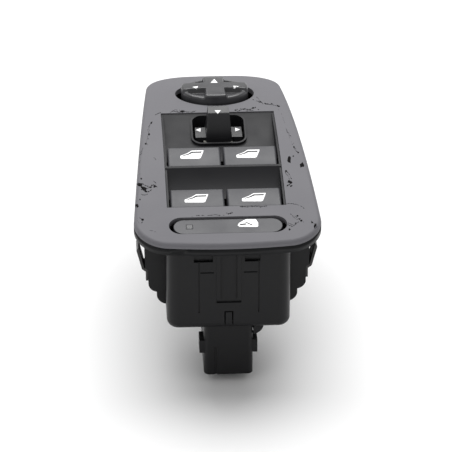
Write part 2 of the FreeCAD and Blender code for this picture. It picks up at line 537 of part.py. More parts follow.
deck = three_part_plate("Deck", deck_low, "1.5", "0", "3.5")
ears = []
ear_holes = []
for side_name, way in (("Left", "-1"), ("Right", "1")):
    ears.append(on_arch(group(f"KnobEar{side_name}Holder",
                              centred_box(f"KnobEar{side_name}", f"{way} * (Dim.gimbal_radius + 2.2)", "0",
                                          "-Dim.gimbal_drop - 2.6", "2.8", "5.0", "4.8")), "Dim.knob_centre", 1))
    ears.append(centred_box(f"CradleEar{side_name}", f"{way} * 8.4", lever_y, deck_low, "2.6", "5.0",
                            f"Dim.lever_pivot + 2.2 - {deck_low}"))
ear_holes.append(on_arch(group("KnobEarHoleHolder",
                               crosswise("KnobEarHole", "-20", "0", "-Dim.gimbal_drop",
                                         "Dim.pin_radius + Dim.pin_play", "40")), "Dim.knob_centre", 1))
ear_holes.append(crosswise("CradleEarHole", "-20", lever_y, "Dim.lever_pivot", "Dim.pin_radius + Dim.pin_play",
                           "40"))
ear_holes.append(on_arch(group("KnobDeckHolder", upright("KnobDeckHole", "0", "0", "-40", "Dim.gimbal_radius + 0.6",
                                                         "60")), "Dim.knob_centre", 1))
ear_holes.append(centred_box("CradleWindow", "0", lever_y, "-30", "13.8", "18.6", "60"))
lock_window = on_arch(group("LockWindowHolder", centred_box("LockWindow", "0", "0", "-30", "13.0", "4.8", "60")),
                      "Dim.slot_centre", -1)
ear_holes.append(lock_window)
for row_name in ("Front", "Rear"):
    for side_name, way in (("Left", "-1"), ("Right", "1")):
        ear_holes.append(centred_box(f"LegWindow{row_name}{side_name}",
                                     f"{way} * ({cap_width} + Dim.button_gap) / 2", pivots[row_name][0],
                                     "-30", "5.6", "6.0", "60"))
deck_posts = []
screws = []
posts = [(f"{way} * ({body_half} - 4)", place) for way in ("-1", "1") for place in ("-54", "-34")]
for number, (post_x, post_y) in enumerate(posts):
    deck_posts.append(upright(f"DeckPost{number}", post_x, post_y, "Dim.board_top", "Dim.screw_head",
                              f"{deck_low} + 0.5 - Dim.board_top"))
    ear_holes.append(upright(f"PostBore{number}", post_x, post_y, "Dim.board_top - 5", "Dim.screw_radius", "9"))
    screw_foot = "(Dim.board_top - Dim.board_thick)"
    shank = upright(f"Shank{number}", post_x, post_y, f"{screw_foot} - 0.5",
                    "Dim.screw_radius - Dim.pin_play", "Dim.board_thick + 4")
    head = upright(f"Head{number}", post_x, post_y, f"{screw_foot} - 1.8", "Dim.screw_head", "1.8")
    screws.append(fuse(f"Screw{number}", shank, head))
for name, way in (("Left", "-1"), ("Right", "1")):
    deck_posts.append(upright(f"FarPost{name}", f"{way} * 16", "Dim.tray_end - 6", "Dim.board_top", "2.2",
                              f"{deck_low} + 0.5 - Dim.board_top"))
keep(cut("Frame", fuse("FrameSolid", deck, *ears, *deck_posts), *ear_holes), "switch_frame")
keep(group("Screws", *screws), "frame_screws")

# Switch board, silicone mat and what the board carries
board_hole_tools = [upright(f"BoardHole{number}", x, y, "-30", "Dim.screw_radius + Dim.pin_play", "30")
                    for number, (x, y) in enumerate(posts)]
board_low = "(Dim.board_top - Dim.board_thick)"
keep(cut("SwitchBoard", three_part_plate("BoardPlate", board_low, "Dim.board_thick", "0.2"), *board_hole_tools),
     "switch_board")
mat_sheet = box("MatSheet", f"-{tray_half} + 1", "Dim.housing_front + Dim.housing_wall + 1.5", "Dim.board_top",
                f"2 * ({tray_half} - 1)", "Dim.tray_end - Dim.housing_front - 2 * Dim.housing_wall - 12",
                "Dim.mat_thick")
domes = [upright("LockDome", "0", f"Dim.slot_centre + (Dim.rim_height - Dim.board_top) * 0.2", mat_top,
                 "Dim.dome_radius", "Dim.dome_height")]
for name, x, y in (("Up", "0", "Dim.knob_centre + 4"), ("Down", "0", "Dim.knob_centre - 8"),
                   ("Left", "-6", "Dim.knob_centre - 2"), ("Right", "6", "Dim.knob_centre - 2")):
    domes.append(upright(f"KnobDome{name}", x, y, mat_top, "Dim.dome_radius", "Dim.dome_height"))
light_spots = (("-11.9", "-37"), ("11.9", "-37"), ("-16", "-68"), ("8", "-68"))
light_windows = [centred_box(f"LightWindow{number}", x, y, "-30", "2.6", "2.0", "40")
                 for number, (x, y) in enumerate(light_spots)]
keep(cut("Mat", fuse("MatSolid", mat_sheet, *domes), *light_windows), "silicone_mat")
chip_z = "(Dim.board_top - Dim.board_thick - 1.1)"
keep(centred_box("Chip", "0", "-14", chip_z, "9", "9", "1.1"), "control_chip")
power_low = "(Dim.power_top - Dim.board_thick)"
link_pins = [centred_box(f"Link{number}", f"({number} - 3.5) * Dim.pin_pitch", "-34", "Dim.power_top",
                         "Dim.pin_side", "Dim.pin_side", f"{board_low} - Dim.power_top") for number in range(8)]
keep(group("LinkPins", *link_pins), "board_link_pins")
keep(box("PowerBoard", "-Dim.front_width / 2 + 4", "Dim.housing_front + 5", power_low, "Dim.front_width - 8",
         "Dim.deep_end - Dim.housing_front - 9", "Dim.board_thick"), "power_board")
relays = [centred_box(f"Relay{number}", f"({number} - 1.5) * (Dim.relay_width + 0.8)", "-44", "Dim.power_top",
                      "Dim.relay_width", "Dim.relay_length", "Dim.relay_height") for number in range(4)]
keep(group("Relays", *relays), "motor_relays")
cans = [upright(f"Can{number}", f"{x} * 17.2", "-57", "Dim.power_top", "3.1", "11")
        for number, x in enumerate((-1, 1))]
keep(group("Capacitors", *cans), "capacitors")
lights = [centred_box(f"Light{number}", x, y, "Dim.board_top", "2", "1.4", "0.8")
          for number, (x, y) in enumerate(light_spots)]
keep(group("Lights", *lights), "backlight_leds")

# Housing: front block, wide body with stepped sides, and far tray
envelope = panel_prism("HousingEnvelope", "(Dim.panel_wall + Dim.free_gap)")
arch_pocket(envelope, "HousingTop", "(Dim.panel_wall + Dim.seat_gap)", True)


def stepped(name, inset, start, length, top):
    """Wide body's section: sides that step in twice, with rounded steps, carried along Y."""
    wide = f"((Dim.near_width - Dim.body_inset) / 2 - {inset})"
    shelf = f"((Dim.near_width - Dim.shelf_inset) / 2 - {inset})"
    step = f"((Dim.near_width - Dim.step_inset) / 2 - {inset})"
    foot_half = f"(Dim.front_width / 2 - {inset})"
    floor = f"(Dim.body_bottom + {inset})"
    right = [(foot_half, floor, "4.6", -1), (step, f"Dim.step_bottom - 5.4 + {inset} / 2"),
             (step, f"Dim.step_bottom - 3.2 + {inset} / 2", "4.2", -1), (shelf, f"Dim.step_bottom + {inset} / 2"),
             (shelf, f"Dim.shelf_bottom - 0.8 + {inset} / 2"), (wide, f"Dim.shelf_bottom + {inset} / 2"),
             (wide, top)]
    left = [(f"-{wide}", top), (f"-{wide}", f"Dim.shelf_bottom + {inset} / 2"),
            (f"-{shelf}", f"Dim.shelf_bottom - 0.8 + {inset} / 2"),
            (f"-{shelf}", f"Dim.step_bottom + {inset} / 2", "4.2", -1),
            (f"-{step}", f"Dim.step_bottom - 3.2 + {inset} / 2"),
            (f"-{step}", f"Dim.step_bottom - 5.4 + {inset} / 2", "4.6", -1), (f"-{foot_half}", floor)]
    return padded(name, "XZ_Plane", right + left, length, start)


def front_block(name, inset, top):
    """Front block with rounded upright columns and rounded lower corners."""
    half = f"(Dim.front_width / 2 - {inset})"
    body = padded(name, "XZ_Plane", [(f"-{half}", f"Dim.front_bottom + {inset}"),
                                     (half, f"Dim.front_bottom + {inset}"),
                                     (half, top), (f"-{half}", top)],
                  f"38 - 2 * {inset}", f"Dim.housing_front + {inset}")
    rounded(body, name + "Columns", f"Dim.front_corner - {inset}",
            lambda edge: is_upright(edge) and edge.CenterOfMass.y < value_of("Dim.housing_step"))
    return body


def is_low_side(edge):
    """True for a lower edge that runs along Y."""
    return edge.BoundBox.ZMax < value_of("Dim.front_bottom") + 0.01 and edge.BoundBox.XLength < 0.01


outer_front = front_block("FrontOuter", "0", "20")
rounded(outer_front, "FrontLowCorners", "3.6", is_low_side)
outer_wide = stepped("WideOuter", "0", "Dim.housing_step", "Dim.deep_end - Dim.housing_step", "20")
tray_wide = "(Dim.far_width - Dim.tray_inset)"
outer_tray = box("TrayOuter", f"-{tray_wide} / 2", "Dim.deep_end - 2", "Dim.tray_bottom", tray_wide,
                 "Dim.tray_end - Dim.deep_end + 2", "40")
inner_front = front_block("FrontInner", "Dim.housing_wall", "30")
inner_wide = stepped("WideInner", "Dim.housing_wall", "Dim.housing_step + Dim.housing_wall",
                     "Dim.deep_end - Dim.housing_step - 2 * Dim.housing_wall", "30")
inner_tray = box("TrayInner", f"-{tray_wide} / 2 + Dim.housing_wall", "Dim.deep_end - 4",
                 "Dim.tray_bottom + Dim.housing_wall", f"{tray_wide} - 2 * Dim.housing_wall",
                 "Dim.tray_end - Dim.deep_end + 4 - Dim.housing_wall", "50")
shroud_y = "(Dim.housing_front + Dim.shroud_setback + Dim.shroud_length / 2)"
shroud_hole = rounded_bar("ShroudHole", "0", shroud_y, "Dim.front_bottom - 2",
                          "Dim.shroud_width + 2 * Dim.seat_gap", "Dim.shroud_length + 2 * Dim.seat_gap", "6",
                          "Dim.shroud_corner")
front_cuts = []
for way, name, far_x in (("-1", "Left", "14.5"), ("1", "Right", "13")):
    start_x = f"-{far_x}" if way == "-1" else "6.6"
    front_cuts.append(box(f"Pocket{name}", start_x, "Dim.housing_front - 1", "-16.2", f"{far_x} - 6.6",
                          "1 + Dim.housing_wall * 0.7", "12"))
    front_cuts.append(centred_box(f"Groove{name}", f"{way} * 12.4", "Dim.housing_front", "-40", "Dim.saw_cut", "1.2",
                                  "24"))
    front_cuts.append(centred_box(f"Ledge{name}", f"{way} * 9", "Dim.housing_front", "-21.4", "5.6", "1.2",
                                  "Dim.saw_cut"))
    front_cuts.append(centred_box(f"TongueCut{name}", f"{way} * Dim.tongue_width / 2", "Dim.housing_front",
                                  "Dim.front_bottom - 1", "Dim.saw_cut", "Dim.housing_wall * 2",
                                  "Dim.tongue_top - Dim.front_bottom + 1"))
front_cuts.append(centred_box("TongueCutTop", "0", "Dim.housing_front", "Dim.tongue_top",
                              "Dim.tongue_width + Dim.saw_cut", "Dim.housing_wall * 2", "Dim.saw_cut"))
front_cuts.append(centred_box("RibRecess", "0", "Dim.housing_front", "Dim.rib_bottom - 1.5",
                              "Dim.rib_spacing + Dim.rib_width", "1.6", "40"))
ribs = [centred_box(f"Rib{name}", f"{way} * Dim.rib_spacing / 2", "Dim.housing_front + 0.4", "Dim.rib_bottom",
                    "Dim.rib_width", "1.4", "26") for way, name in ((-1, "Left"), (1, "Right"))]
boss_spots = (("-18", "-66", "Dim.front_bottom + 1"), ("18", "-66", "Dim.front_bottom + 1"),
              ("-18", "-35", "Dim.body_bottom + 1"), ("18", "-35", "Dim.body_bottom + 1"))
bosses = [upright(f"Boss{number}", x, y, foot_z, "2.4", f"{power_low} - ({foot_z})")
          for number, (x, y, foot_z) in enumerate(boss_spots)]
tray_bosses = [upright(f"TrayBoss{number}", x, y, "Dim.tray_bottom + 0.5", "2.4",
                       f"{board_low} - Dim.tray_bottom - 0.5")
               for number, (x, y) in enumerate((("-16", "6"), ("16", "6"), ("-16", "62"), ("16", "62")))]
hook = box("Hook", "-8", "Dim.tray_end - 1", "-12", "16", "7", "3")
gusset = padded("Gusset", "XZ_Plane",
                [("Dim.shroud_width / 2 + 0.3", "Dim.front_bottom - 4.8"),
                 ("Dim.shroud_width / 2 + 0.3", "Dim.front_bottom + 1"), ("Dim.shroud_width / 2 + 4.6", "Dim.front_bottom + 1"),
                 ("Dim.shroud_width / 2 + 4.6", "Dim.front_bottom", "5.2", 1)],
                "Dim.shroud_length - 6", "Dim.housing_front + Dim.shroud_setback + 1")
housing_shell = cut("HousingShell", common("HousingInside", fuse("HousingOuter", outer_front, outer_wide,
                                                                 outer_tray), envelope),
                    fuse("HousingInner", inner_front, inner_wide, inner_tray))
lock_bay = on_arch(stadium("LockBay", "0", "-9", "Dim.slot_length", "Dim.slot_width", "20"), "Dim.slot_centre", -1)
well_bay = box("WellBay", "-Dim.recess_width / 2 - 0.1", "Dim.recess_near - 0.2", deck_low,
               "Dim.recess_width + 0.2", "Dim.recess_far - Dim.recess_near + 0.4", "40")
housing_cut = cut("HousingCut", housing_shell, shroud_hole, lock_bay, well_bay, *front_cuts)
keep(fuse("Housing", housing_cut, *ribs, *bosses, *tray_bosses, hook, gusset), "lower_housing")

# Connector header with its pins
shroud_low = "(Dim.front_bottom - Dim.shroud_drop)"
shroud_block = rounded_bar("ShroudBlock", "0", shroud_y, shroud_low, "Dim.shroud_width", "Dim.shroud_length",
                           "Dim.shroud_drop + Dim.housing_wall + Dim.seat_gap + 1", "Dim.shroud_corner")
flange = centred_box("ShroudFlange", "0", shroud_y, "Dim.front_bottom + Dim.housing_wall + Dim.seat_gap",
                     "Dim.shroud_width + 4", "Dim.shroud_length + 1", "1")
lugs = [centred_box(f"Lug{name}", f"{way} * (Dim.shroud_width / 2 + 0.7)", "Dim.housing_front + 8",
                    f"{shroud_low} + 10", "2.4", "8", "6") for way, name in ((-1, "Left"), (1, "Right"))]
socket = rounded_bar("Socket", "0", shroud_y, f"{shroud_low} - 1", "Dim.shroud_width - 2 * Dim.shroud_wall",
                     "Dim.shroud_length - 2 * Dim.shroud_wall", "Dim.shroud_drop + 1 - Dim.socket_floor", "1.2")
key_groove = centred_box("KeyGroove", "-5.4", "Dim.housing_front + Dim.shroud_setback", f"{shroud_low} - 1", "1.2",
                         "0.9", "Dim.shroud_drop * 0.62")
pins = []
for across in (-1, 1):
    for along in range(8):
        pins.append(centred_box(f"Pin{across + 1}{along}", f"{across} * Dim.pin_pitch",
                                f"{shroud_y} + ({along} - 3.5) * Dim.pin_pitch",
                                "Dim.front_bottom - Dim.socket_floor - Dim.pin_reach", "Dim.pin_side",
                                "Dim.pin_side",
                                f"{power_low} - Dim.front_bottom + Dim.socket_floor + Dim.pin_reach"))
header = cut("HeaderBlock", fuse("HeaderSolid", shroud_block, flange, *lugs), socket, key_groove)
keep(cut("Header", header, group("PinTools", *pins)), "connector_shroud")
keep(group("Pins", *pins), "connector_pins")

# Spring clips on the wide body's sides: distances out from the side, and heights
clip_tip = "Dim.clip_root + Dim.clip_height"
LEAF = [("0", "Dim.clip_foot"), ("Dim.clip_thick", "Dim.clip_foot"),
        ("Dim.clip_thick", "Dim.clip_root - 1.6"), ("Dim.clip_thick * 2.6", "Dim.clip_root - 0.4"),
        ("Dim.clip_reach + Dim.clip_thick * 0.8", f"{clip_tip} - 1.6"), ("Dim.clip_reach", clip_tip),
        ("Dim.clip_reach - Dim.clip_thick * 0.4", f"{clip_tip} - 1.2"),
        ("Dim.clip_thick * 1.6", "Dim.clip_root + 0.3"), ("0", "Dim.clip_root - 0.4")]
for name, way in (("left", "-1"), ("right", "1")):
    strip = [(f"{way} * ((Dim.near_width - Dim.shelf_inset) / 2 + {away})", height) for away, height in LEAF]
    if way == "-1":
        strip.reverse()
    keep(padded(f"Clip{name}", "XZ_Plane", strip, "Dim.clip_width", "Dim.clip_centre - Dim.clip_width / 2"),
         f"{name}_spring_clip")

doc.recompute()
faults = [thing.Name for thing in doc.Objects if {"Invalid", "Error"} & set(thing.State)]
faults += [thing.Label for thing in NODES if thing.Shape.isNull() or not thing.Shape.isValid()]
if faults:
    raise RuntimeError("Not built: " + ", ".join(faults))
os.makedirs("parts", exist_ok=True)
for thing in NODES:
    thing.Shape.exportStep(f"parts/{thing.Label}.step")
print(len(NODES), "sub-parts")
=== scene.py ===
import logging
import math
from dataclasses import dataclass, field
from enum import Enum
from typing import Callable, Sequence

import bmesh
import bpy
import numpy as np
from mathutils import Matrix, Vector
from mathutils.bvhtree import BVHTree


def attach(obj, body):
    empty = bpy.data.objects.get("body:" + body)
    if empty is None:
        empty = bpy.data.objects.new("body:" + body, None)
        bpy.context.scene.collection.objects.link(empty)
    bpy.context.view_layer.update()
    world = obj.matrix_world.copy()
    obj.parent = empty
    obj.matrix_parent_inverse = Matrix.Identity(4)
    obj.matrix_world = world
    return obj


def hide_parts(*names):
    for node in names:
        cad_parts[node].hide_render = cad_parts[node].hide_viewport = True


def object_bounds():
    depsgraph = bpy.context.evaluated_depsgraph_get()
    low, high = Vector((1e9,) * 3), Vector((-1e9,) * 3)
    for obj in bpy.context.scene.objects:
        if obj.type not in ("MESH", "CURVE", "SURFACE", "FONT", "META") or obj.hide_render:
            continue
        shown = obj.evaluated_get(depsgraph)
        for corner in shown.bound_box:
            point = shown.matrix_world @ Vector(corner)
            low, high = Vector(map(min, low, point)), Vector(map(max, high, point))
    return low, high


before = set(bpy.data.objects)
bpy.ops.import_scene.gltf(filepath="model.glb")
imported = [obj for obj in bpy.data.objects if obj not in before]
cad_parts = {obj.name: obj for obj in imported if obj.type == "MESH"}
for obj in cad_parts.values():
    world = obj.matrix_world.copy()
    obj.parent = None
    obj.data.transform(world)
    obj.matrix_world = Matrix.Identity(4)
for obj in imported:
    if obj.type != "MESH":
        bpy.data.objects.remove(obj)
CAD_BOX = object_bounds()

LOG = logging.getLogger("switch_panel")
MM = 0.001

# Panel: radius of its arch, height of its crest and depth below the crest where the painted shade on its
# side begins, in millimetres
ARCH_RADIUS = 336.0
RIM_HEIGHT = 5.0
SHADE_TOP_DEPTH = 2.1

# Photograph: side in pixels
PHOTO_SIDE = 452

# Mesh work: angles in radians, the merging distance in metres, and how edges are rounded and shaded
SHARP_ANGLE = math.radians(32)
FLAT_ANGLE = math.radians(0.6)
MERGE_GAP = 1e-6
EDGE_SEGMENTS = 3
FACE_WEIGHT = 80

# Finishes: octaves of the two noises, the part of the broad one that shows, how far it moves the roughness,
# and the strength of the dents
BROAD_OCTAVES = 4.0
FINE_OCTAVES = 3.0
NOISE_SPAN = (0.3, 0.7)
ROUGH_SWING = 0.07
BUMP_STRENGTH = 0.35


class Slot(Enum):
    """Material slots of the record. Each decal keeps one, but nothing reads it; the finishes come from the
    Finish constants.
    """

    COATING = "soft_touch_grey"
    WELL = "well_black"
    BUTTON = "button_grey"
    KNOB = "knob_black"
    HOUSING = "housing_black"
    CLIP = "clip_steel"
    LAMP = "lamp"
    INDICATOR = "indicator"


@dataclass(frozen=True)
class Finish:
    """A moulded or metal surface worked out in three dimensions.

    The colour and the roughness wander with a broad noise, and a fine grain dents the surface. The shine is
    the specular level and the glow the strength of its own light. Sizes are in millimetres.
    """

    name: str
    dark: tuple[float, float, float]
    light: tuple[float, float, float]
    roughness: float
    patch: float = 18.0
    grain: float = 0.35
    dent: float = 0.02
    metallic: float = 0.0
    sheen: float = 0.0
    glow: float = 0.0
    shine: float = 0.4

    def material(self) -> bpy.types.Material:
        """Make the node material, or return it if it is there already.

        Returns:
            The finished material.
        """
        found = bpy.data.materials.get(self.name)
        if found:
            return found
        made = bpy.data.materials.new(self.name)
        made.use_nodes = True
        tree = made.node_tree
        shader = tree.nodes["Principled BSDF"]
        place = tree.nodes.new("ShaderNodeTexCoord")
        broad = self.noise(tree, place, 1.0 / (self.patch * MM), BROAD_OCTAVES)
        tint = tree.nodes.new("ShaderNodeMix")
        tint.data_type = "RGBA"
        tint.inputs["A"].default_value = (*self.dark, 1.0)
        tint.inputs["B"].default_value = (*self.light, 1.0)
        tree.links.new(broad.outputs["Fac"], tint.inputs["Factor"])
        tree.links.new(tint.outputs["Result"], shader.inputs["Base Color"])
        fine = self.noise(tree, place, 1.0 / (self.grain * MM), FINE_OCTAVES)
        span = tree.nodes.new("ShaderNodeMapRange")
        span.inputs["From Min"].default_value = NOISE_SPAN[0]
        span.inputs["From Max"].default_value = NOISE_SPAN[1]
        span.inputs["To Min"].default_value = self.roughness - ROUGH_SWING
        span.inputs["To Max"].default_value = self.roughness + ROUGH_SWING
        tree.links.new(broad.outputs["Fac"], span.inputs["Value"])
        tree.links.new(span.outputs["Result"], shader.inputs["Roughness"])
        bump = tree.nodes.new("ShaderNodeBump")
        bump.inputs["Strength"].default_value = BUMP_STRENGTH
        bump.inputs["Distance"].default_value = self.dent * MM
        tree.links.new(fine.outputs["Fac"], bump.inputs["Height"])
        tree.links.new(bump.outputs["Normal"], shader.inputs["Normal"])
        shader.inputs["Metallic"].default_value = self.metallic
        shader.inputs["Sheen Weight"].default_value = self.sheen
        shader.inputs["Specular IOR Level"].default_value = self.shine
        if self.glow:
            shader.inputs["Emission Color"].default_value = (*self.light, 1.0)
            shader.inputs["Emission Strength"].default_value = self.glow
        return made

    @staticmethod
    def noise(tree: bpy.types.NodeTree, place: bpy.types.Node, scale: float,
              detail: float) -> bpy.types.Node:
        """Add a noise texture on object coordinates.

        Args:
            tree: Node tree that takes it.
            place: Texture coordinate node.
            scale: Cycles for each metre.
            detail: Octaves.

        Returns:
            The noise node.
        """
        node = tree.nodes.new("ShaderNodeTexNoise")
        node.inputs["Scale"].default_value = scale
        node.inputs["Detail"].default_value = detail
        tree.links.new(place.outputs["Object"], node.inputs["Vector"])
        return node


COATING = Finish("worn_soft_touch", (0.118, 0.116, 0.127), (0.156, 0.153, 0.167),
                 0.62, 22.0, 0.3, 0.03, sheen=0.05, shine=0.3)
WELL_BLACK = Finish("well_plastic", (0.010, 0.010, 0.0115), (0.017, 0.017, 0.0195),
                    0.52, 14.0, 0.25, 0.02, shine=0.2)
BUTTON_GREY = Finish("button_plastic", (0.036, 0.036, 0.041), (0.051, 0.051, 0.058),
                     0.46, 12.0, 0.25, 0.02)
KNOB_BLACK = Finish("lever_plastic", (0.014, 0.014, 0.016), (0.022, 0.022, 0.024),
                    0.34, 9.0, 0.25, 0.015, shine=0.45)
# The knob's black plastic with a lighter base colour: painted light standing in for the overhead light its
# upward faces catch
KNOB_PAINTED_LIGHTER = Finish("knob_plastic", (0.032, 0.032, 0.035), (0.048, 0.048, 0.052),
                   0.33, 9.0, 0.25, 0.015, shine=0.6)
HOUSING_BLACK = Finish("housing_plastic", (0.004, 0.004, 0.0045), (0.008, 0.008, 0.009),
                       0.42, 16.0, 0.4, 0.03, shine=0.22)
CHIP_BLACK = Finish("bare_plastic", (0.002, 0.002, 0.002), (0.005, 0.005, 0.005),
                    0.7, 2.0, 0.2, 0.05, shine=0.05)
# White print with a painted glow: it gives off light of its own though no lamp shines in it
GLOWING_WHITE_PRINT = Finish("glowing_white_print", (0.80, 0.80, 0.80), (0.92, 0.92, 0.92),
                     0.45, 3.0, 0.3, 0.005, glow=0.45)
PRINT_DARK = Finish("dark_print", (0.012, 0.012, 0.013), (0.02, 0.02, 0.021), 0.5, 3.0, 0.3, 0.005)
CLIP_STEEL = Finish("dark_clip_steel", (0.030, 0.030, 0.031), (0.055, 0.054, 0.052),
                    0.38, 3.0, 0.5, 0.01, 0.7)
PIN_STEEL = Finish("pin_steel_finish", (0.42, 0.42, 0.43), (0.58, 0.58, 0.60),
                   0.3, 4.0, 0.3, 0.005, 1.0)
BRASS = Finish("contact_metal", (0.55, 0.46, 0.26), (0.72, 0.62, 0.36), 0.3, 3.0, 0.3, 0.005, 1.0)
NATURAL = Finish("natural_plastic", (0.42, 0.41, 0.37), (0.52, 0.51, 0.46), 0.45, 8.0, 0.3, 0.01)
BOARD = Finish("board_lacquer", (0.012, 0.06, 0.028), (0.02, 0.095, 0.045), 0.3, 6.0, 0.8, 0.01)
SILICONE = Finish("silicone_rubber", (0.20, 0.20, 0.21), (0.28, 0.28, 0.29), 0.6, 10.0, 0.3, 0.01)
CAN_METAL = Finish("can_metal", (0.55, 0.55, 0.57), (0.70, 0.70, 0.72), 0.25, 5.0, 0.3, 0.005, 1.0)
LAMP_CLEAR = Finish("lamp_resin", (0.70, 0.69, 0.60), (0.85, 0.84, 0.76), 0.2, 2.0, 0.3, 0.005)
SMOKED = Finish("smoked_lens", (0.035, 0.035, 0.038), (0.05, 0.05, 0.054), 0.2, 2.0, 0.3, 0.003)
FLOOR_WHITE = Finish("pale_floor", (0.86, 0.86, 0.86), (0.90, 0.90, 0.90), 0.85, 300.0, 2.0, 0.01)

# Finish of each CAD node that keeps its own shape
NODE_FINISH = {
    "switch_frame": HOUSING_BLACK, "frame_screws": PIN_STEEL, "switch_board": BOARD,
    "silicone_mat": SILICONE, "control_chip": CHIP_BLACK, "board_link_pins": BRASS, "power_board": BOARD,
    "motor_relays": HOUSING_BLACK, "capacitors": CAN_METAL, "backlight_leds": LAMP_CLEAR,
    "connector_pins": BRASS, "front_pivot_pin": PIN_STEEL, "rear_pivot_pin": PIN_STEEL,
    "knob_stem": NATURAL, "knob_tilt_pin": PIN_STEEL, "knob_gimbal": NATURAL, "selector_pin": PIN_STEEL,
    "selector_cradle": NATURAL, "selector_slider": NATURAL, "lockout_stem": NATURAL,
}


@dataclass
class PhotoView:
    """The photograph's long-lens view. Angles in degrees, lengths in millimetres."""

    azimuth: float = -2.9
    elevation: float = 27.7
    distance: float = 1250.0
    aim: tuple[float, float, float] = (0.0, -53.0, -12.06)
    pixels_per_mm: float = 2.388
    sensor: float = 36.0
    farthest: float = 10000.0

    def back(self) -> Vector:
        """Unit vector from the aim to the camera."""
        a, e = math.radians(self.azimuth), math.radians(self.elevation)
        return Vector((math.sin(a) * math.cos(e), -math.cos(a) * math.cos(e), math.sin(e)))

    def axes(self) -> tuple[Vector, Vector, Vector]:
        """The camera's right, up and back vectors."""
        back = self.back()
        right = Vector((0, 0, 1)).cross(back).normalized()
        return right, back.cross(right).normalized(), back

    def ray(self, column: float, row: float) -> tuple[Vector, Vector]:
        """Where a photograph pixel's line of sight starts, and its direction, in metres.

        Args:
            column: Pixel column in the photograph's frame.
            row: Pixel row.

        Returns:
            The camera's place and the unit direction.
        """
        right, up, back = self.axes()
        start = (Vector(self.aim) + back * self.distance) * MM
        focal = self.pixels_per_mm * self.distance
        half = PHOTO_SIDE / 2
        way = right * (column - half) / focal - up * (row - half) / focal - back
        return start, way.normalized()

    def place(self) -> None:
        """Make the camera and set it as the scene's own."""
        lens_data = bpy.data.cameras.new("photo_camera")
        lens_data.lens = self.pixels_per_mm * self.distance / PHOTO_SIDE * self.sensor
        lens_data.sensor_width = self.sensor
        lens_data.clip_end = self.farthest * MM
        camera = bpy.data.objects.new("photo_camera", lens_data)
        bpy.context.scene.collection.objects.link(camera)
        right, up, back = self.axes()
        turn = Matrix((right, up, back)).transposed().to_4x4()
        camera.matrix_world = Matrix.Translation((Vector(self.aim) + back * self.distance) * MM) @ turn
        bpy.context.scene.camera = camera


VIEW = PhotoView()


def linked(mesh: bpy.types.Mesh, name: str) -> bpy.types.Object:
    """Put a mesh in the scene as a smooth-shaded object."""
    piece = bpy.data.objects.new(name, mesh)
    bpy.context.scene.collection.objects.link(piece)
    mesh.polygons.foreach_set("use_smooth", np.ones(len(mesh.polygons), dtype=bool))
    return piece


def dress(piece: bpy.types.Object, finish: Finish, body: str) -> None:
    """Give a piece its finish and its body.

    Args:
        piece: Object to dress.
        finish: Finish that it gets.
        body: CAD body that it rides on.
    """
    piece.data.materials.clear()
    piece.data.materials.append(finish.material())
    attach(piece, body)
    LOG.info("%s rides on %s", piece.name, body)


def soften(piece: bpy.types.Object, width: float) -> None:
    """Round a piece's sharp edges by a width in millimetres and even out its shading."""
    bevel = piece.modifiers.new("edge_round", "BEVEL")
    bevel.width = width * MM
    bevel.segments = EDGE_SEGMENTS
    bevel.limit_method = "ANGLE"
    bevel.angle_limit = SHARP_ANGLE
    bevel.use_clamp_overlap = True
    normals = piece.modifiers.new("even_shading", "WEIGHTED_NORMAL")
    normals.keep_sharp = True
    normals.weight = FACE_WEIGHT


def thicken(piece: bpy.types.Object, depth: float) -> None:
    """Give an open sheet a thickness in millimetres, inwards from its surface."""
    solid = piece.modifiers.new("thickness", "SOLIDIFY")
    solid.thickness = depth * MM
    solid.offset = -1.0


def moulded(node: str, name: str, finish: Finish, body: str, edge: float) -> bpy.types.Object:
    """A CAD node's own solid with merged faces and softened edges, in place of the node.

    Args:
        node: CAD node that it stands for.
        name: The new piece's name.
        finish: Its finish.
        body: Body that it rides on.
        edge: Edge radius in millimetres.

    Returns:
        The new piece.
    """
    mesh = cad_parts[node].data.copy()
    work = bmesh.new()
    work.from_mesh(mesh)
    bmesh.ops.remove_doubles(work, verts=work.verts, dist=MERGE_GAP)
    bmesh.ops.dissolve_limit(work, angle_limit=FLAT_ANGLE, verts=work.verts, edges=work.edges)
    work.to_mesh(mesh)
    work.free()
    piece = linked(mesh, name)
    dress(piece, finish, body)
    soften(piece, edge)
    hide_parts(node)
    return piece


def ring_mesh(name: str, points: np.ndarray) -> bpy.types.Mesh:
    """Mesh from rings of points, in metres.

    Args:
        name: Mesh name.
        points: Array of rings, points on each ring and three coordinates.

    Returns:
        A mesh of quads, with doubled points merged and normals facing out.
    """
    rings, spokes = points.shape[:2]
    index = np.arange(rings * spokes).reshape(rings, spokes)
    following = np.roll(index, -1, axis=1)
    faces = np.stack([index[:-1], following[:-1], following[1:], index[1:]], axis=-1).reshape(-1, 4)
    mesh = bpy.data.meshes.new(name)
    mesh.from_pydata(points.reshape(-1, 3).tolist(), [], faces.tolist())
    work = bmesh.new()
    work.from_mesh(mesh)
    bmesh.ops.remove_doubles(work, verts=work.verts, dist=2 * MERGE_GAP)
    bmesh.ops.holes_fill(work, edges=[edge for edge in work.edges if edge.is_boundary], sides=0)
    bmesh.ops.recalc_face_normals(work, faces=work.faces)
    work.to_mesh(mesh)
    work.free()
    return mesh


def solid_tree(piece: bpy.types.Object) -> BVHTree:
    """Search tree over a piece's mesh at rest, for laying thin pieces on it."""
    spots = [vertex.co.copy() for vertex in piece.data.vertices]
    faces = [list(face.vertices) for face in piece.data.polygons]
    return BVHTree.FromPolygons(spots, faces)


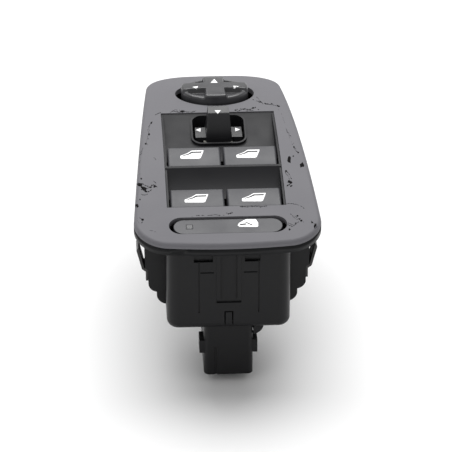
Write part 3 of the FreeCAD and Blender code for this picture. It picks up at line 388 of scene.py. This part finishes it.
@dataclass
class Decal:
    """Thin raised patches laid on a surface where the photograph's lines of sight meet it.

    Every outline is a closed run of photograph pixels. It is filled and divided while flat, and then each
    corner is projected on the surface and lifted by a hair along its normal, and the patch is thickened.
    Lift and thickness are in millimetres, the longest edge in pixels, and steepest is the least upward part
    of a normal that still takes a patch.
    """

    name: str
    finish: Finish
    body: str
    slot: Slot
    surface: BVHTree
    lift: float = 0.04
    thick: float = 0.07
    longest: float = 2.0
    steepest: float = 0.2
    rounds: int = 4
    outlines: list[np.ndarray] = field(default_factory=list)

    def add(self, corners: Sequence[tuple[float, float]] | np.ndarray) -> None:
        """Add one closed outline of pixels."""
        self.outlines.append(np.asarray(corners, dtype=float))

    def filled(self) -> bmesh.types.BMesh:
        """Fill the outlines while they are still flat, with no edge longer than the limit.

        Returns:
            A mesh whose X and Y are photograph pixels.
        """
        work = bmesh.new()
        for outline in self.outlines:
            corners = [work.verts.new((column, row, 0.0)) for column, row in outline]
            edges = [work.edges.new((one, corners[(number + 1) % len(corners)]))
                     for number, one in enumerate(corners)]
            bmesh.ops.triangle_fill(work, edges=edges, use_beauty=True)
        for _ in range(self.rounds):
            long_edges = [edge for edge in work.edges if edge.calc_length() > self.longest]
            if not long_edges:
                break
            bmesh.ops.subdivide_edges(work, edges=long_edges, cuts=1)
            bmesh.ops.triangulate(work, faces=work.faces)
        return work

    def build(self) -> None:
        """Make one object that holds all the patches which meet the surface."""
        work = self.filled()
        missed = []
        for vertex in work.verts:
            spot, normal, _, _ = self.surface.ray_cast(*VIEW.ray(vertex.co.x, vertex.co.y))
            if spot is None or normal.z < self.steepest:
                missed.append(vertex)
                continue
            vertex.co = spot + normal * self.lift * MM
        bmesh.ops.delete(work, geom=missed, context="VERTS")
        loose = [vertex for vertex in work.verts if not vertex.link_faces]
        bmesh.ops.delete(work, geom=loose, context="VERTS")
        if not work.faces:
            work.free()
            return
        for face in work.faces:
            face.normal_update()
            if face.normal.z < 0:
                face.normal_flip()
        mesh = bpy.data.meshes.new(self.name)
        work.to_mesh(mesh)
        work.free()
        piece = linked(mesh, self.name)
        thicken(piece, self.thick)
        dress(piece, self.finish, self.body)


def boxed(corners: Sequence[tuple[float, float]], left: float, top: float, right: float,
          low: float) -> np.ndarray:
    """Scale a unit outline into a box of pixels.

    Args:
        corners: Outline from (0, 0) at the lower left to (1, 1) at the upper right.
        left: Box's left column.
        top: Its top row.
        right: Its right column.
        low: Its lowest row.

    Returns:
        The outline in pixels.
    """
    unit = np.asarray(corners, dtype=float)
    columns = left + unit[:, 0] * (right - left)
    rows = low + unit[:, 1] * (top - low)
    return np.stack([columns, rows], axis=1)


# Outlines of the printed signs, in a box from (0, 0) at the lower left to (1, 1) at the upper right
ARROW_UP = ((0.0, 0.0), (0.5, 1.0), (1.0, 0.0))
ARROW_DOWN = ((0.0, 1.0), (1.0, 1.0), (0.5, 0.0))
ARROW_LEFT = ((1.0, 0.0), (0.0, 0.5), (1.0, 1.0))
ARROW_RIGHT = ((0.0, 0.0), (1.0, 0.5), (0.0, 1.0))
KNOB_LEFT = ((0.0, 0.75), (1.0, 1.0), (0.85, 0.0))
KNOB_RIGHT = ((0.1, 0.0), (0.0, 1.0), (1.0, 0.85))
DOOR_BODY = ((0.0, 0.34), (0.08, 0.42), (0.30, 0.66), (0.46, 0.93), (0.50, 0.97), (1.0, 1.0), (0.98, 0.80),
             (0.88, 0.10), (0.82, 0.0), (0.03, 0.0), (0.0, 0.08))
DOOR_GLASS = ((0.09, 0.36), (0.34, 0.60), (0.46, 0.80), (0.50, 0.84), (0.93, 0.87), (0.90, 0.70),
              (0.52, 0.68), (0.36, 0.48), (0.14, 0.32))
LOCK_WINDOW = ((0.0, 0.18), (0.06, 0.48), (0.30, 0.86), (0.44, 1.0), (0.88, 1.0), (1.0, 0.55), (1.0, 0.06),
               (0.94, 0.0), (0.10, 0.02))
LOCK_SLAT = ((0.10, 0.24), (0.12, 0.40), (0.42, 0.46), (0.40, 0.27))
LOCK_SLASH = ((0.34, 0.62), (0.44, 0.64), (0.78, 0.22), (0.68, 0.20))


@dataclass(frozen=True)
class Chip:
    """A flake gone from the coating: its place and size in photograph pixels, and its turn in degrees."""

    column: float
    row: float
    long: float
    wide: float
    turn: float = 0.0
    corners: int = 9
    spread: float = 0.58
    ragged: tuple[float, float] = (-0.38, 0.30)

    def outline(self, dice: np.random.Generator) -> np.ndarray:
        """Ragged closed outline: an ellipse whose radius wanders from corner to corner."""
        angle = np.linspace(0.0, 2.0 * math.pi, self.corners, endpoint=False)
        reach = 1.0 + dice.uniform(*self.ragged, self.corners)
        across = np.cos(angle) * reach * self.long * self.spread
        down = np.sin(angle) * reach * self.wide * self.spread
        turn = math.radians(self.turn)
        return np.stack([self.column + across * math.cos(turn) - down * math.sin(turn),
                         self.row + across * math.sin(turn) + down * math.cos(turn)], axis=1)


@dataclass(frozen=True)
class Crack:
    """A broken hairline in the coating. All lengths are in photograph pixels.

    It runs along a path in ribbons of a given pitch, whose ends wander sideways and up and down, and a share
    of them is left out.
    """

    path: tuple[tuple[float, float], ...]
    width: float = 0.5
    broken: float = 0.15
    pitch: float = 1.6
    fewest: int = 3
    wander: tuple[float, float] = (0.35, 0.28)
    swell: tuple[float, float] = (0.45, 1.25)
    tallness: float = 1.3

    def outlines(self, dice: np.random.Generator) -> list[np.ndarray]:
        """Short ragged ribbons along the path, with some left out where the coating still holds."""
        way = np.asarray(self.path, dtype=float)
        step = np.hypot(*np.diff(way, axis=0).T)
        along = np.concatenate([[0.0], np.cumsum(step)])
        count = max(self.fewest, int(along[-1] / self.pitch))
        place = np.linspace(0.0, along[-1], count + 1)
        aside, up_down = self.wander
        columns = np.interp(place, along, way[:, 0]) + dice.normal(0.0, aside, count + 1)
        rows = np.interp(place, along, way[:, 1]) + dice.normal(0.0, up_down, count + 1)
        ribbons = []
        for number in range(count):
            half = self.width * dice.uniform(*self.swell) / 2
            skipped = dice.random() < self.broken
            if skipped:
                continue
            start = columns[number], rows[number]
            stop = columns[number + 1], rows[number + 1]
            middle, level = (start[0] + stop[0]) / 2, (start[1] + stop[1]) / 2
            tall = half * self.tallness
            ribbons.append(np.array([start, (middle, level + tall), stop, (middle, level - tall)]))
        return ribbons


CHIPS = (
    Chip(181.3, 113.4, 7.0, 4.2, 10), Chip(171.0, 115.0, 5.0, 1.6, -50), Chip(188.5, 112.6, 4.0, 1.3, 5),
    Chip(289.0, 160.0, 3.4, 6.4, 5), Chip(302.0, 165.0, 4.0, 4.6, 40), Chip(286.0, 171.0, 1.6, 2.2),
    Chip(289.8, 182.0, 4.6, 2.6, 35), Chip(291.0, 186.0, 2.4, 1.6, -30), Chip(294.0, 147.0, 1.4, 1.8),
    Chip(139.4, 184.6, 5.2, 3.0, 20), Chip(144.0, 188.6, 5.0, 2.8, 30), Chip(150.4, 187.2, 2.2, 1.5),
    Chip(146.2, 191.5, 2.0, 1.4), Chip(154.5, 186.8, 2.6, 1.2, -20), Chip(136.2, 205.6, 3.4, 4.2, 70),
    Chip(142.4, 219.8, 2.2, 2.0), Chip(141.3, 178.5, 1.5, 1.7), Chip(145.8, 144.0, 2.0, 1.4),
    Chip(151.4, 122.8, 2.2, 1.3, -60), Chip(149.0, 134.5, 1.6, 2.2), Chip(315.2, 225.6, 2.0, 4.0, 15),
    Chip(289.6, 229.4, 2.0, 1.6), Chip(297.2, 215.8, 1.8, 1.3), Chip(301.4, 220.6, 2.0, 1.6),
    Chip(295.6, 223.2, 1.4, 1.1), Chip(268.8, 230.4, 2.6, 1.3), Chip(298.2, 152.4, 1.4, 1.2),
    Chip(255.0, 112.2, 3.6, 1.6, 15), Chip(248.0, 111.2, 3.0, 1.2, 10), Chip(140.0, 199.4, 1.2, 1.2),
    Chip(312.0, 222.5, 1.4, 1.2), Chip(187.0, 207.0, 5.6, 1.5, -3), Chip(223.5, 206.6, 3.4, 1.1),
    Chip(253.0, 108.0, 2.2, 1.2), Chip(279.0, 106.2, 1.8, 1.2), Chip(293.2, 156.0, 1.2, 1.2),
)
CRACKS = (
    Crack(((169, 113.6), (173, 111), (178, 112.2), (183, 110.6), (189, 112.6), (195, 111)), 0.9, 0.05),
    Crack(((170, 117.4), (172.4, 114.6), (175, 112.6)), 0.8, 0.0),
    Crack(((233, 109.4), (238, 111.4), (243, 108.6), (250, 109.4), (256, 107.2)), 0.9, 0.05),
    Crack(((244, 112), (250, 113.4), (257, 112.2), (262, 110.4)), 0.7, 0.1),
    Crack(((258, 100.6), (266, 104.4), (272, 103.6), (280, 107)), 0.9, 0.1),
    Crack(((255, 96), (259, 99.4), (263, 104)), 0.6, 0.2),
    Crack(((136, 185), (141, 183), (147, 186.4), (153, 184.6), (158, 187.4)), 0.9, 0.05),
    Crack(((141, 189.6), (147, 192), (152, 190.2)), 0.9, 0.0),
    Crack(((138, 192), (143, 195.4), (148, 194)), 0.6, 0.2),
    Crack(((153, 181), (156.4, 184), (154, 188)), 0.7, 0.0),
    Crack(((150, 124), (147.6, 129.6), (149.6, 133.4)), 0.9, 0.0),
    Crack(((148, 136.4), (146.2, 141.2), (148.2, 145.6)), 0.6, 0.1),
    Crack(((143, 147.6), (141, 154), (138.6, 156)), 0.7, 0.1),
    Crack(((286, 128), (289.6, 134), (293, 141), (294.4, 147.4)), 0.7, 0.3),
    Crack(((293.6, 148), (297, 151), (299.4, 155.4)), 0.8, 0.1),
    Crack(((286.4, 170), (289, 175), (292, 179.4)), 0.9, 0.0),
    Crack(((286, 187.6), (289.6, 184.4), (292, 181)), 1.0, 0.0),
    Crack(((166.4, 206), (169.4, 207.8), (174, 207.2)), 0.9, 0.0),
    Crack(((237, 206.2), (245, 207), (254, 206), (262, 206.8), (270, 205)), 0.9, 0.05),
    Crack(((292, 215), (296, 219.4), (301.6, 218), (304, 222.4)), 0.8, 0.1),
    Crack(((287.4, 224.6), (292, 226.6), (296, 224)), 0.8, 0.1),
    Crack(((311, 221), (315, 223.4), (317.4, 227)), 0.8, 0.0),
    Crack(((140, 217), (143, 220.6), (141.6, 223.4)), 0.8, 0.0),
    Crack(((150, 229.6), (156, 232.4)), 0.4, 0.3),
    Crack(((168, 115), (172, 111.5), (176, 110), (184, 111), (192, 112.4), (196.5, 110.4))),
    Crack(((186, 114.5), (190.5, 117.5), (193, 119.5)), 0.6),
    Crack(((155, 115), (158, 113.6), (161, 112.5)), 0.6),
    Crack(((235, 110.5), (241, 108.3), (248, 110.5), (255, 111.5), (259, 113.5)), 0.8),
    Crack(((256, 108.5), (260, 110), (257, 114.5)), 0.5),
    Crack(((253, 99.5), (260, 102.3), (269, 104), (279, 106.4)), 0.6),
    Crack(((151, 122), (149, 130), (147.4, 136), (149, 141)), 0.6),
    Crack(((144, 147), (141, 152), (139, 158)), 0.45),
    Crack(((277, 108), (280.5, 113), (284, 120), (286.6, 129.6)), 0.4, 0.5),
    Crack(((286.7, 129.6), (290, 139), (294, 147), (298, 152)), 0.5, 0.45),
    Crack(((140, 160), (138.6, 170), (141.5, 178)), 0.5, 0.4),
    Crack(((146, 189), (151, 186.5), (157, 184.6)), 0.6),
    Crack(((136, 182), (140, 187), (146, 191), (148, 194)), 0.7),
    Crack(((285, 171), (288, 176), (291, 182), (287.5, 186)), 0.6),
    Crack(((168, 206), (175, 207.6), (186, 206.6), (196, 206.2)), 0.55, 0.4),
    Crack(((236, 205.6), (247, 204.8), (258, 205.4), (268, 204.2)), 0.75, 0.15),
    Crack(((283, 204), (292, 203.6), (300, 205.4), (304.4, 208.6)), 0.6, 0.1),
    Crack(((226, 212.4), (229, 214), (233, 212.6)), 0.9, 0.0),
    Crack(((228, 215), (231.5, 212)), 0.7, 0.0),
    Crack(((190, 217.2), (198, 215.8), (210, 215.4), (224, 215.2)), 0.6, 0.35),
    Crack(((268, 230.6), (276, 229.4), (283, 227.6)), 0.6, 0.3),
    Crack(((290, 214), (297, 217.5), (302, 221)), 0.6, 0.3),
    Crack(((288, 223), (293, 225), (299, 221.5)), 0.5, 0.4),
    Crack(((314.5, 224), (317, 226.6), (314, 229)), 0.7, 0.1),
    Crack(((152, 156), (155, 158.5), (158, 160)), 0.4, 0.5), Crack(((137, 218), (139.5, 225)), 0.4, 0.5),
)


@dataclass
class PaintedShadeSkirt:
    """Thin black shell over the bezel's upright outer side: painted shade where that side falls in shadow.

    A face belongs to it if it stands upright and nothing of the bezel lies in front of it. Lengths are in
    millimetres, and upright is the largest upward part that the normal of such a face has.
    """

    upright: float = 0.08
    look_from: float = 0.02
    lift: float = 0.04
    thick: float = 0.08

    def build(self, bezel: bpy.types.Object, surface: BVHTree) -> None:
        """Make the shell.

        Args:
            bezel: The bezel.
            surface: Search tree over it.
        """
        work = bmesh.new()
        work.from_mesh(bezel.data)
        hidden = []
        for face in work.faces:
            start = face.calc_center_median() + face.normal * self.look_from * MM
            blocked = surface.ray_cast(start, face.normal)[0] is not None
            if abs(face.normal.z) > self.upright or blocked:
                hidden.append(face)
        bmesh.ops.delete(work, geom=hidden, context="FACES")
        for vertex in work.verts:
            vertex.co += vertex.normal * self.lift * MM
            across = vertex.co.y / MM
            crest = RIM_HEIGHT - ARCH_RADIUS + math.sqrt(ARCH_RADIUS ** 2 - across ** 2)
            vertex.co.z = min(vertex.co.z, (crest - SHADE_TOP_DEPTH) * MM)
        mesh = bpy.data.meshes.new("bezel_painted_shade_skirt")
        work.to_mesh(mesh)
        work.free()
        shell = linked(mesh, "bezel_painted_shade_skirt")
        thicken(shell, self.thick)
        # Painted shade: the housing's black plastic covers the bezel's upright side
        dress(shell, HOUSING_BLACK, "root")


@dataclass
class Panel:
    """The coated bezel, its wear, and the dark insert with the finger wells. Edge radii in millimetres."""

    edge: float = 0.35
    well_edge: float = 0.25
    seed: int = 20

    def build(self) -> None:
        """Make the bezel, the insert and the flakes and cracks in the coating."""
        bezel = moulded("bezel", "coated_bezel", COATING, "root", self.edge)
        moulded("finger_well", "finger_well_insert", WELL_BLACK, "root", self.well_edge)
        dice = np.random.default_rng(self.seed)
        surface = solid_tree(bezel)
        # Painted shade over the bezel's upright side
        PaintedShadeSkirt().build(bezel, surface)
        flakes = Decal("coating_flakes", CHIP_BLACK, "root", Slot.WELL, surface)
        for chip in CHIPS:
            flakes.add(chip.outline(dice))
        lines = Decal("coating_cracks", CHIP_BLACK, "root", Slot.WELL, surface)
        for crack in CRACKS:
            for ribbon in crack.outlines(dice):
                lines.add(ribbon)
        flakes.build()
        lines.build()


@dataclass
class WindowButtons:
    """Four rocker caps with a door-window sign printed on each.

    Each sign has its left, top, right and low pixel. The dark glass lies on the white sign, so it is lifted
    more. Edge radius and lift in millimetres.
    """

    edge: float = 0.35
    glass_lift: float = 0.08
    signs: tuple[tuple[str, float, float, float, float], ...] = (
        ("front_left", 180.3, 150.4, 203.6, 158.8), ("front_right", 236.4, 149.6, 259.6, 157.8),
        ("rear_left", 184.6, 194.2, 208.2, 202.6), ("rear_right", 242.0, 193.0, 265.8, 201.4))

    def build(self) -> None:
        """Make the caps and their signs."""
        for place, left, top, right, low in self.signs:
            body = f"window_{place}"
            cap = moulded(f"window_button_{place}", f"window_cap_{place}", BUTTON_GREY, body,
                          self.edge)
            surface = solid_tree(cap)
            sign = Decal(f"window_sign_{place}", GLOWING_WHITE_PRINT, body, Slot.LAMP, surface)
            sign.add(boxed(DOOR_BODY, left, top, right, low))
            sign.build()
            glass = Decal(f"window_glass_{place}", PRINT_DARK, body, Slot.BUTTON, surface,
                          lift=self.glass_lift)
            glass.add(boxed(DOOR_GLASS, left, top, right, low))
            glass.build()


@dataclass
class MirrorKnob:
    """Round four-way knob: a cross of flat arms over a lower rim, with a sunk pocket between each two arms.

    Sizes in millimetres. The knob stands on the arched panel, so it leans with the panel's surface there.
    It is hollow below: each skirt ring has its share of the way down and its pull inwards, the last one
    ends at the foot, and the roof closes it.
    """

    centre_y: float = 48.5
    radius: float = 15.0
    rise: float = 4.2
    skirt: float = 5.2
    arm: float = 8.8
    flare: float = 0.8
    rim: float = 2.3
    rim_drop: float = 1.3
    pocket: float = 2.4
    blend: float = 0.42
    crown: float = 0.5
    round_edge: float = 1.0
    round_start: float = 0.1
    round_rings: int = 7
    foot: float = -0.7
    roof: float = -0.6
    roof_share: float = 0.02
    rings: int = 90
    spokes: int = 288
    skirt_rings: tuple[tuple[float, float], ...] = ((0.45, 0.0), (1.0, 0.12), (1.0, 1.5), (0.55, 1.6))

    def height(self, x: np.ndarray, y: np.ndarray) -> np.ndarray:
        """Top surface over a point in plan.

        Arms stand at the full rise. Between them the rim lies a little lower and the pockets lower still,
        with smooth steps, and the whole crown falls away gently towards the outside.
        """
        reach = np.hypot(x, y)

        def step(distance: np.ndarray) -> np.ndarray:
            """Smooth 0 to 1 step over the blend on both sides of zero."""
            t = np.clip(distance / (2 * self.blend) + 0.5, 0.0, 1.0)
            return t * t * (3.0 - 2.0 * t)

        grown = self.flare * (reach / self.radius) ** 3 / 2
        off_arm = step(np.minimum(np.abs(x), np.abs(y)) - self.arm / 2 - grown)
        inside = step(self.radius - self.rim - reach)
        drop = off_arm * (self.rim_drop + inside * (self.pocket - self.rim_drop))
        return self.rise - drop - self.crown * (reach / self.radius) ** 3

    def lean(self, points: np.ndarray) -> np.ndarray:
        """Turn and move points from the knob's own frame to the panel's."""
        sine = self.centre_y / ARCH_RADIUS
        cosine = math.sqrt(1.0 - sine ** 2)
        base = RIM_HEIGHT - ARCH_RADIUS * (1.0 - cosine)
        x, y, z = points[..., 0], points[..., 1], points[..., 2]
        along = self.centre_y + y * cosine + z * sine
        return np.stack([x, along, base - y * sine + z * cosine], axis=-1) * MM

    def build(self) -> None:
        """Revolve the height field, close it down the skirt and print the arrows."""
        angle = np.linspace(0.0, 2.0 * math.pi, self.spokes, endpoint=False)
        flat = self.radius - self.round_edge
        bend = np.linspace(self.round_start, math.pi / 2, self.round_rings)
        span = np.concatenate([np.linspace(0.0, flat, self.rings), flat + self.round_edge * np.sin(bend)])
        fall = np.concatenate([np.zeros(self.rings), self.round_edge * (1 - np.cos(bend))])
        x = span[:, None] * np.cos(angle)
        y = span[:, None] * np.sin(angle)
        z = self.height(x, y) - fall[:, None]
        top = np.stack([x, y, z], axis=-1)
        wall = []
        for depth, pull in self.skirt_rings:
            scale = (self.radius - pull) / self.radius
            low = z[-1] + (-self.skirt - z[-1]) * depth
            wall.append(np.stack([x[-1] * scale, y[-1] * scale, low], axis=-1))
        wall[-1][:, 2] = self.foot
        roof = np.stack([x[-1] * self.roof_share, y[-1] * self.roof_share, np.full(self.spokes, self.roof)],
                        axis=-1)
        points = np.concatenate([top, np.stack(wall), roof[None]], axis=0)
        piece = linked(ring_mesh("four_way_knob", self.lean(points)), "four_way_knob")
        # Lighter copy of the knob plastic: painted light for its lit top
        dress(piece, KNOB_PAINTED_LIGHTER, "knob")
        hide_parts("mirror_knob")
        arrows = Decal("knob_arrows", GLOWING_WHITE_PRINT, "knob", Slot.LAMP, solid_tree(piece))
        arrows.add(boxed(ARROW_UP, 210.6, 79.0, 217.8, 82.8))
        arrows.add(boxed(KNOB_LEFT, 192.4, 86.2, 198.0, 89.2))
        arrows.add(boxed(KNOB_RIGHT, 233.2, 85.8, 239.0, 88.8))
        arrows.build()


@dataclass
class Selector:
    """Mirror selector lever with its two wing plates and arrows. Edge radius in millimetres."""

    edge: float = 0.3

    def build(self) -> None:
        """Make the lever and print its arrows."""
        lever = moulded("selector_lever", "selector_tab", KNOB_BLACK, "lever", self.edge)
        arrows = Decal("selector_arrows", GLOWING_WHITE_PRINT, "lever", Slot.LAMP, solid_tree(lever))
        arrows.add(boxed(ARROW_DOWN, 214.6, 110.4, 220.8, 113.8))
        arrows.add(boxed(ARROW_LEFT, 195.6, 128.2, 200.6, 131.8))
        arrows.add(boxed(ARROW_RIGHT, 235.2, 127.8, 240.2, 131.4))
        arrows.build()


@dataclass
class Lockout:
    """Rear-window lockout button with its indicator and sign.

    The sign has its left, top, right and low pixel. Edge radii and the dark marks' lift in millimetres.
    """

    edge: float = 0.3
    lens_edge: float = 0.1
    marks_lift: float = 0.08
    sign: tuple[float, float, float, float] = (237.6, 219.2, 258.2, 227.0)

    def build(self) -> None:
        """Make the long button, the square indicator and the sign."""
        bar = moulded("lockout_button", "lockout_bar", BUTTON_GREY, "lockout", self.edge)
        moulded("lockout_indicator", "indicator_lens", SMOKED, "lockout", self.lens_edge)
        surface = solid_tree(bar)
        window = Decal("lockout_sign", GLOWING_WHITE_PRINT, "lockout", Slot.LAMP, surface)
        window.add(boxed(LOCK_WINDOW, *self.sign))
        window.build()
        marks = Decal("lockout_sign_marks", PRINT_DARK, "lockout", Slot.BUTTON, surface,
                      lift=self.marks_lift)
        marks.add(boxed(LOCK_SLAT, *self.sign))
        marks.add(boxed(LOCK_SLASH, *self.sign))
        marks.build()


@dataclass
class Housing:
    """Black lower housing, connector and spring clips. Edge radii in millimetres."""

    edge: float = 0.3
    clip_edge: float = 0.15

    def build(self) -> None:
        """Make the housing pieces from the CAD solids with moulded edges."""
        moulded("lower_housing", "housing_case", HOUSING_BLACK, "root", self.edge)
        moulded("connector_shroud", "connector_case", HOUSING_BLACK, "root", self.edge)
        for side in ("left", "right"):
            moulded(f"{side}_spring_clip", f"{side}_clip_leaf", CLIP_STEEL, "root",
                    self.clip_edge)


def finish_inner_nodes() -> None:
    """Give every CAD node that still shows its own material."""
    for name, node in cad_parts.items():
        kind = "_".join(name.split("_")[:2])
        finish = NODE_FINISH.get(name)
        if finish is None and kind in ("window_rocker", "window_slider"):
            finish = NATURAL
        if finish is None:
            continue
        node.data.materials.clear()
        node.data.materials.append(finish.material())


@dataclass
class Studio:
    """Pale floor and plain soft light. Lengths in metres, angles in degrees."""

    floor_drop: float = 0.004
    floor_side: float = 14.0
    sky: float = 0.45
    overhead: float = 3.3
    softness: float = 60.0
    lean: float = 30.0
    lamp_place: tuple[float, float, float] = (-0.7, -0.8, 0.5)
    lamp_aim: tuple[float, float, float] = (0.0, -0.03, -0.02)
    lamp_side: float = 0.6
    lamp_watts: float = 1.0

    def build(self) -> None:
        """Make the floor, the world's light, the daylight and the lamp."""
        low = CAD_BOX[0][2] - self.floor_drop
        half = self.floor_side / 2
        mesh = bpy.data.meshes.new("studio_floor")
        corners = [(-half, -half, low), (half, -half, low), (half, half, low), (-half, half, low)]
        mesh.from_pydata(corners, [], [(0, 1, 2, 3)])
        floor = linked(mesh, "studio_floor")
        floor.data.materials.append(FLOOR_WHITE.material())
        world = bpy.data.worlds.new("studio_world")
        bpy.context.scene.world = world
        world.use_nodes = True
        world.node_tree.nodes["Background"].inputs["Color"].default_value = (1.0, 1.0, 1.0, 1.0)
        world.node_tree.nodes["Background"].inputs["Strength"].default_value = self.sky
        self.daylight()
        self.lamp()
        bpy.context.scene.view_settings.view_transform = "Standard"

    def daylight(self) -> None:
        """Add the broad light from above and behind, even over the whole floor."""
        data = bpy.data.lights.new("overhead", "SUN")
        data.energy = self.overhead
        data.angle = math.radians(self.softness)
        light = bpy.data.objects.new("overhead", data)
        bpy.context.scene.collection.objects.link(light)
        light.rotation_euler = (-math.radians(self.lean), 0.0, 0.0)

    def lamp(self) -> None:
        """Add the square soft lamp at the front on the left."""
        data = bpy.data.lights.new("front_left", "AREA")
        data.size = self.lamp_side
        data.energy = self.lamp_watts
        light = bpy.data.objects.new("front_left", data)
        bpy.context.scene.collection.objects.link(light)
        way = Vector(self.lamp_aim) - Vector(self.lamp_place)
        light.location = self.lamp_place
        light.rotation_euler = way.to_track_quat("-Z", "Y").to_euler()


def main() -> None:
    """Build the scene in order."""
    logging.basicConfig(level=logging.INFO)
    VIEW.place()
    builders: tuple[Callable[[], None], ...] = (
        Panel().build, WindowButtons().build, MirrorKnob().build, Selector().build, Lockout().build,
        Housing().build, finish_inner_nodes, Studio().build)
    for build in builders:
        build()


if __name__ == "__main__":
    main()
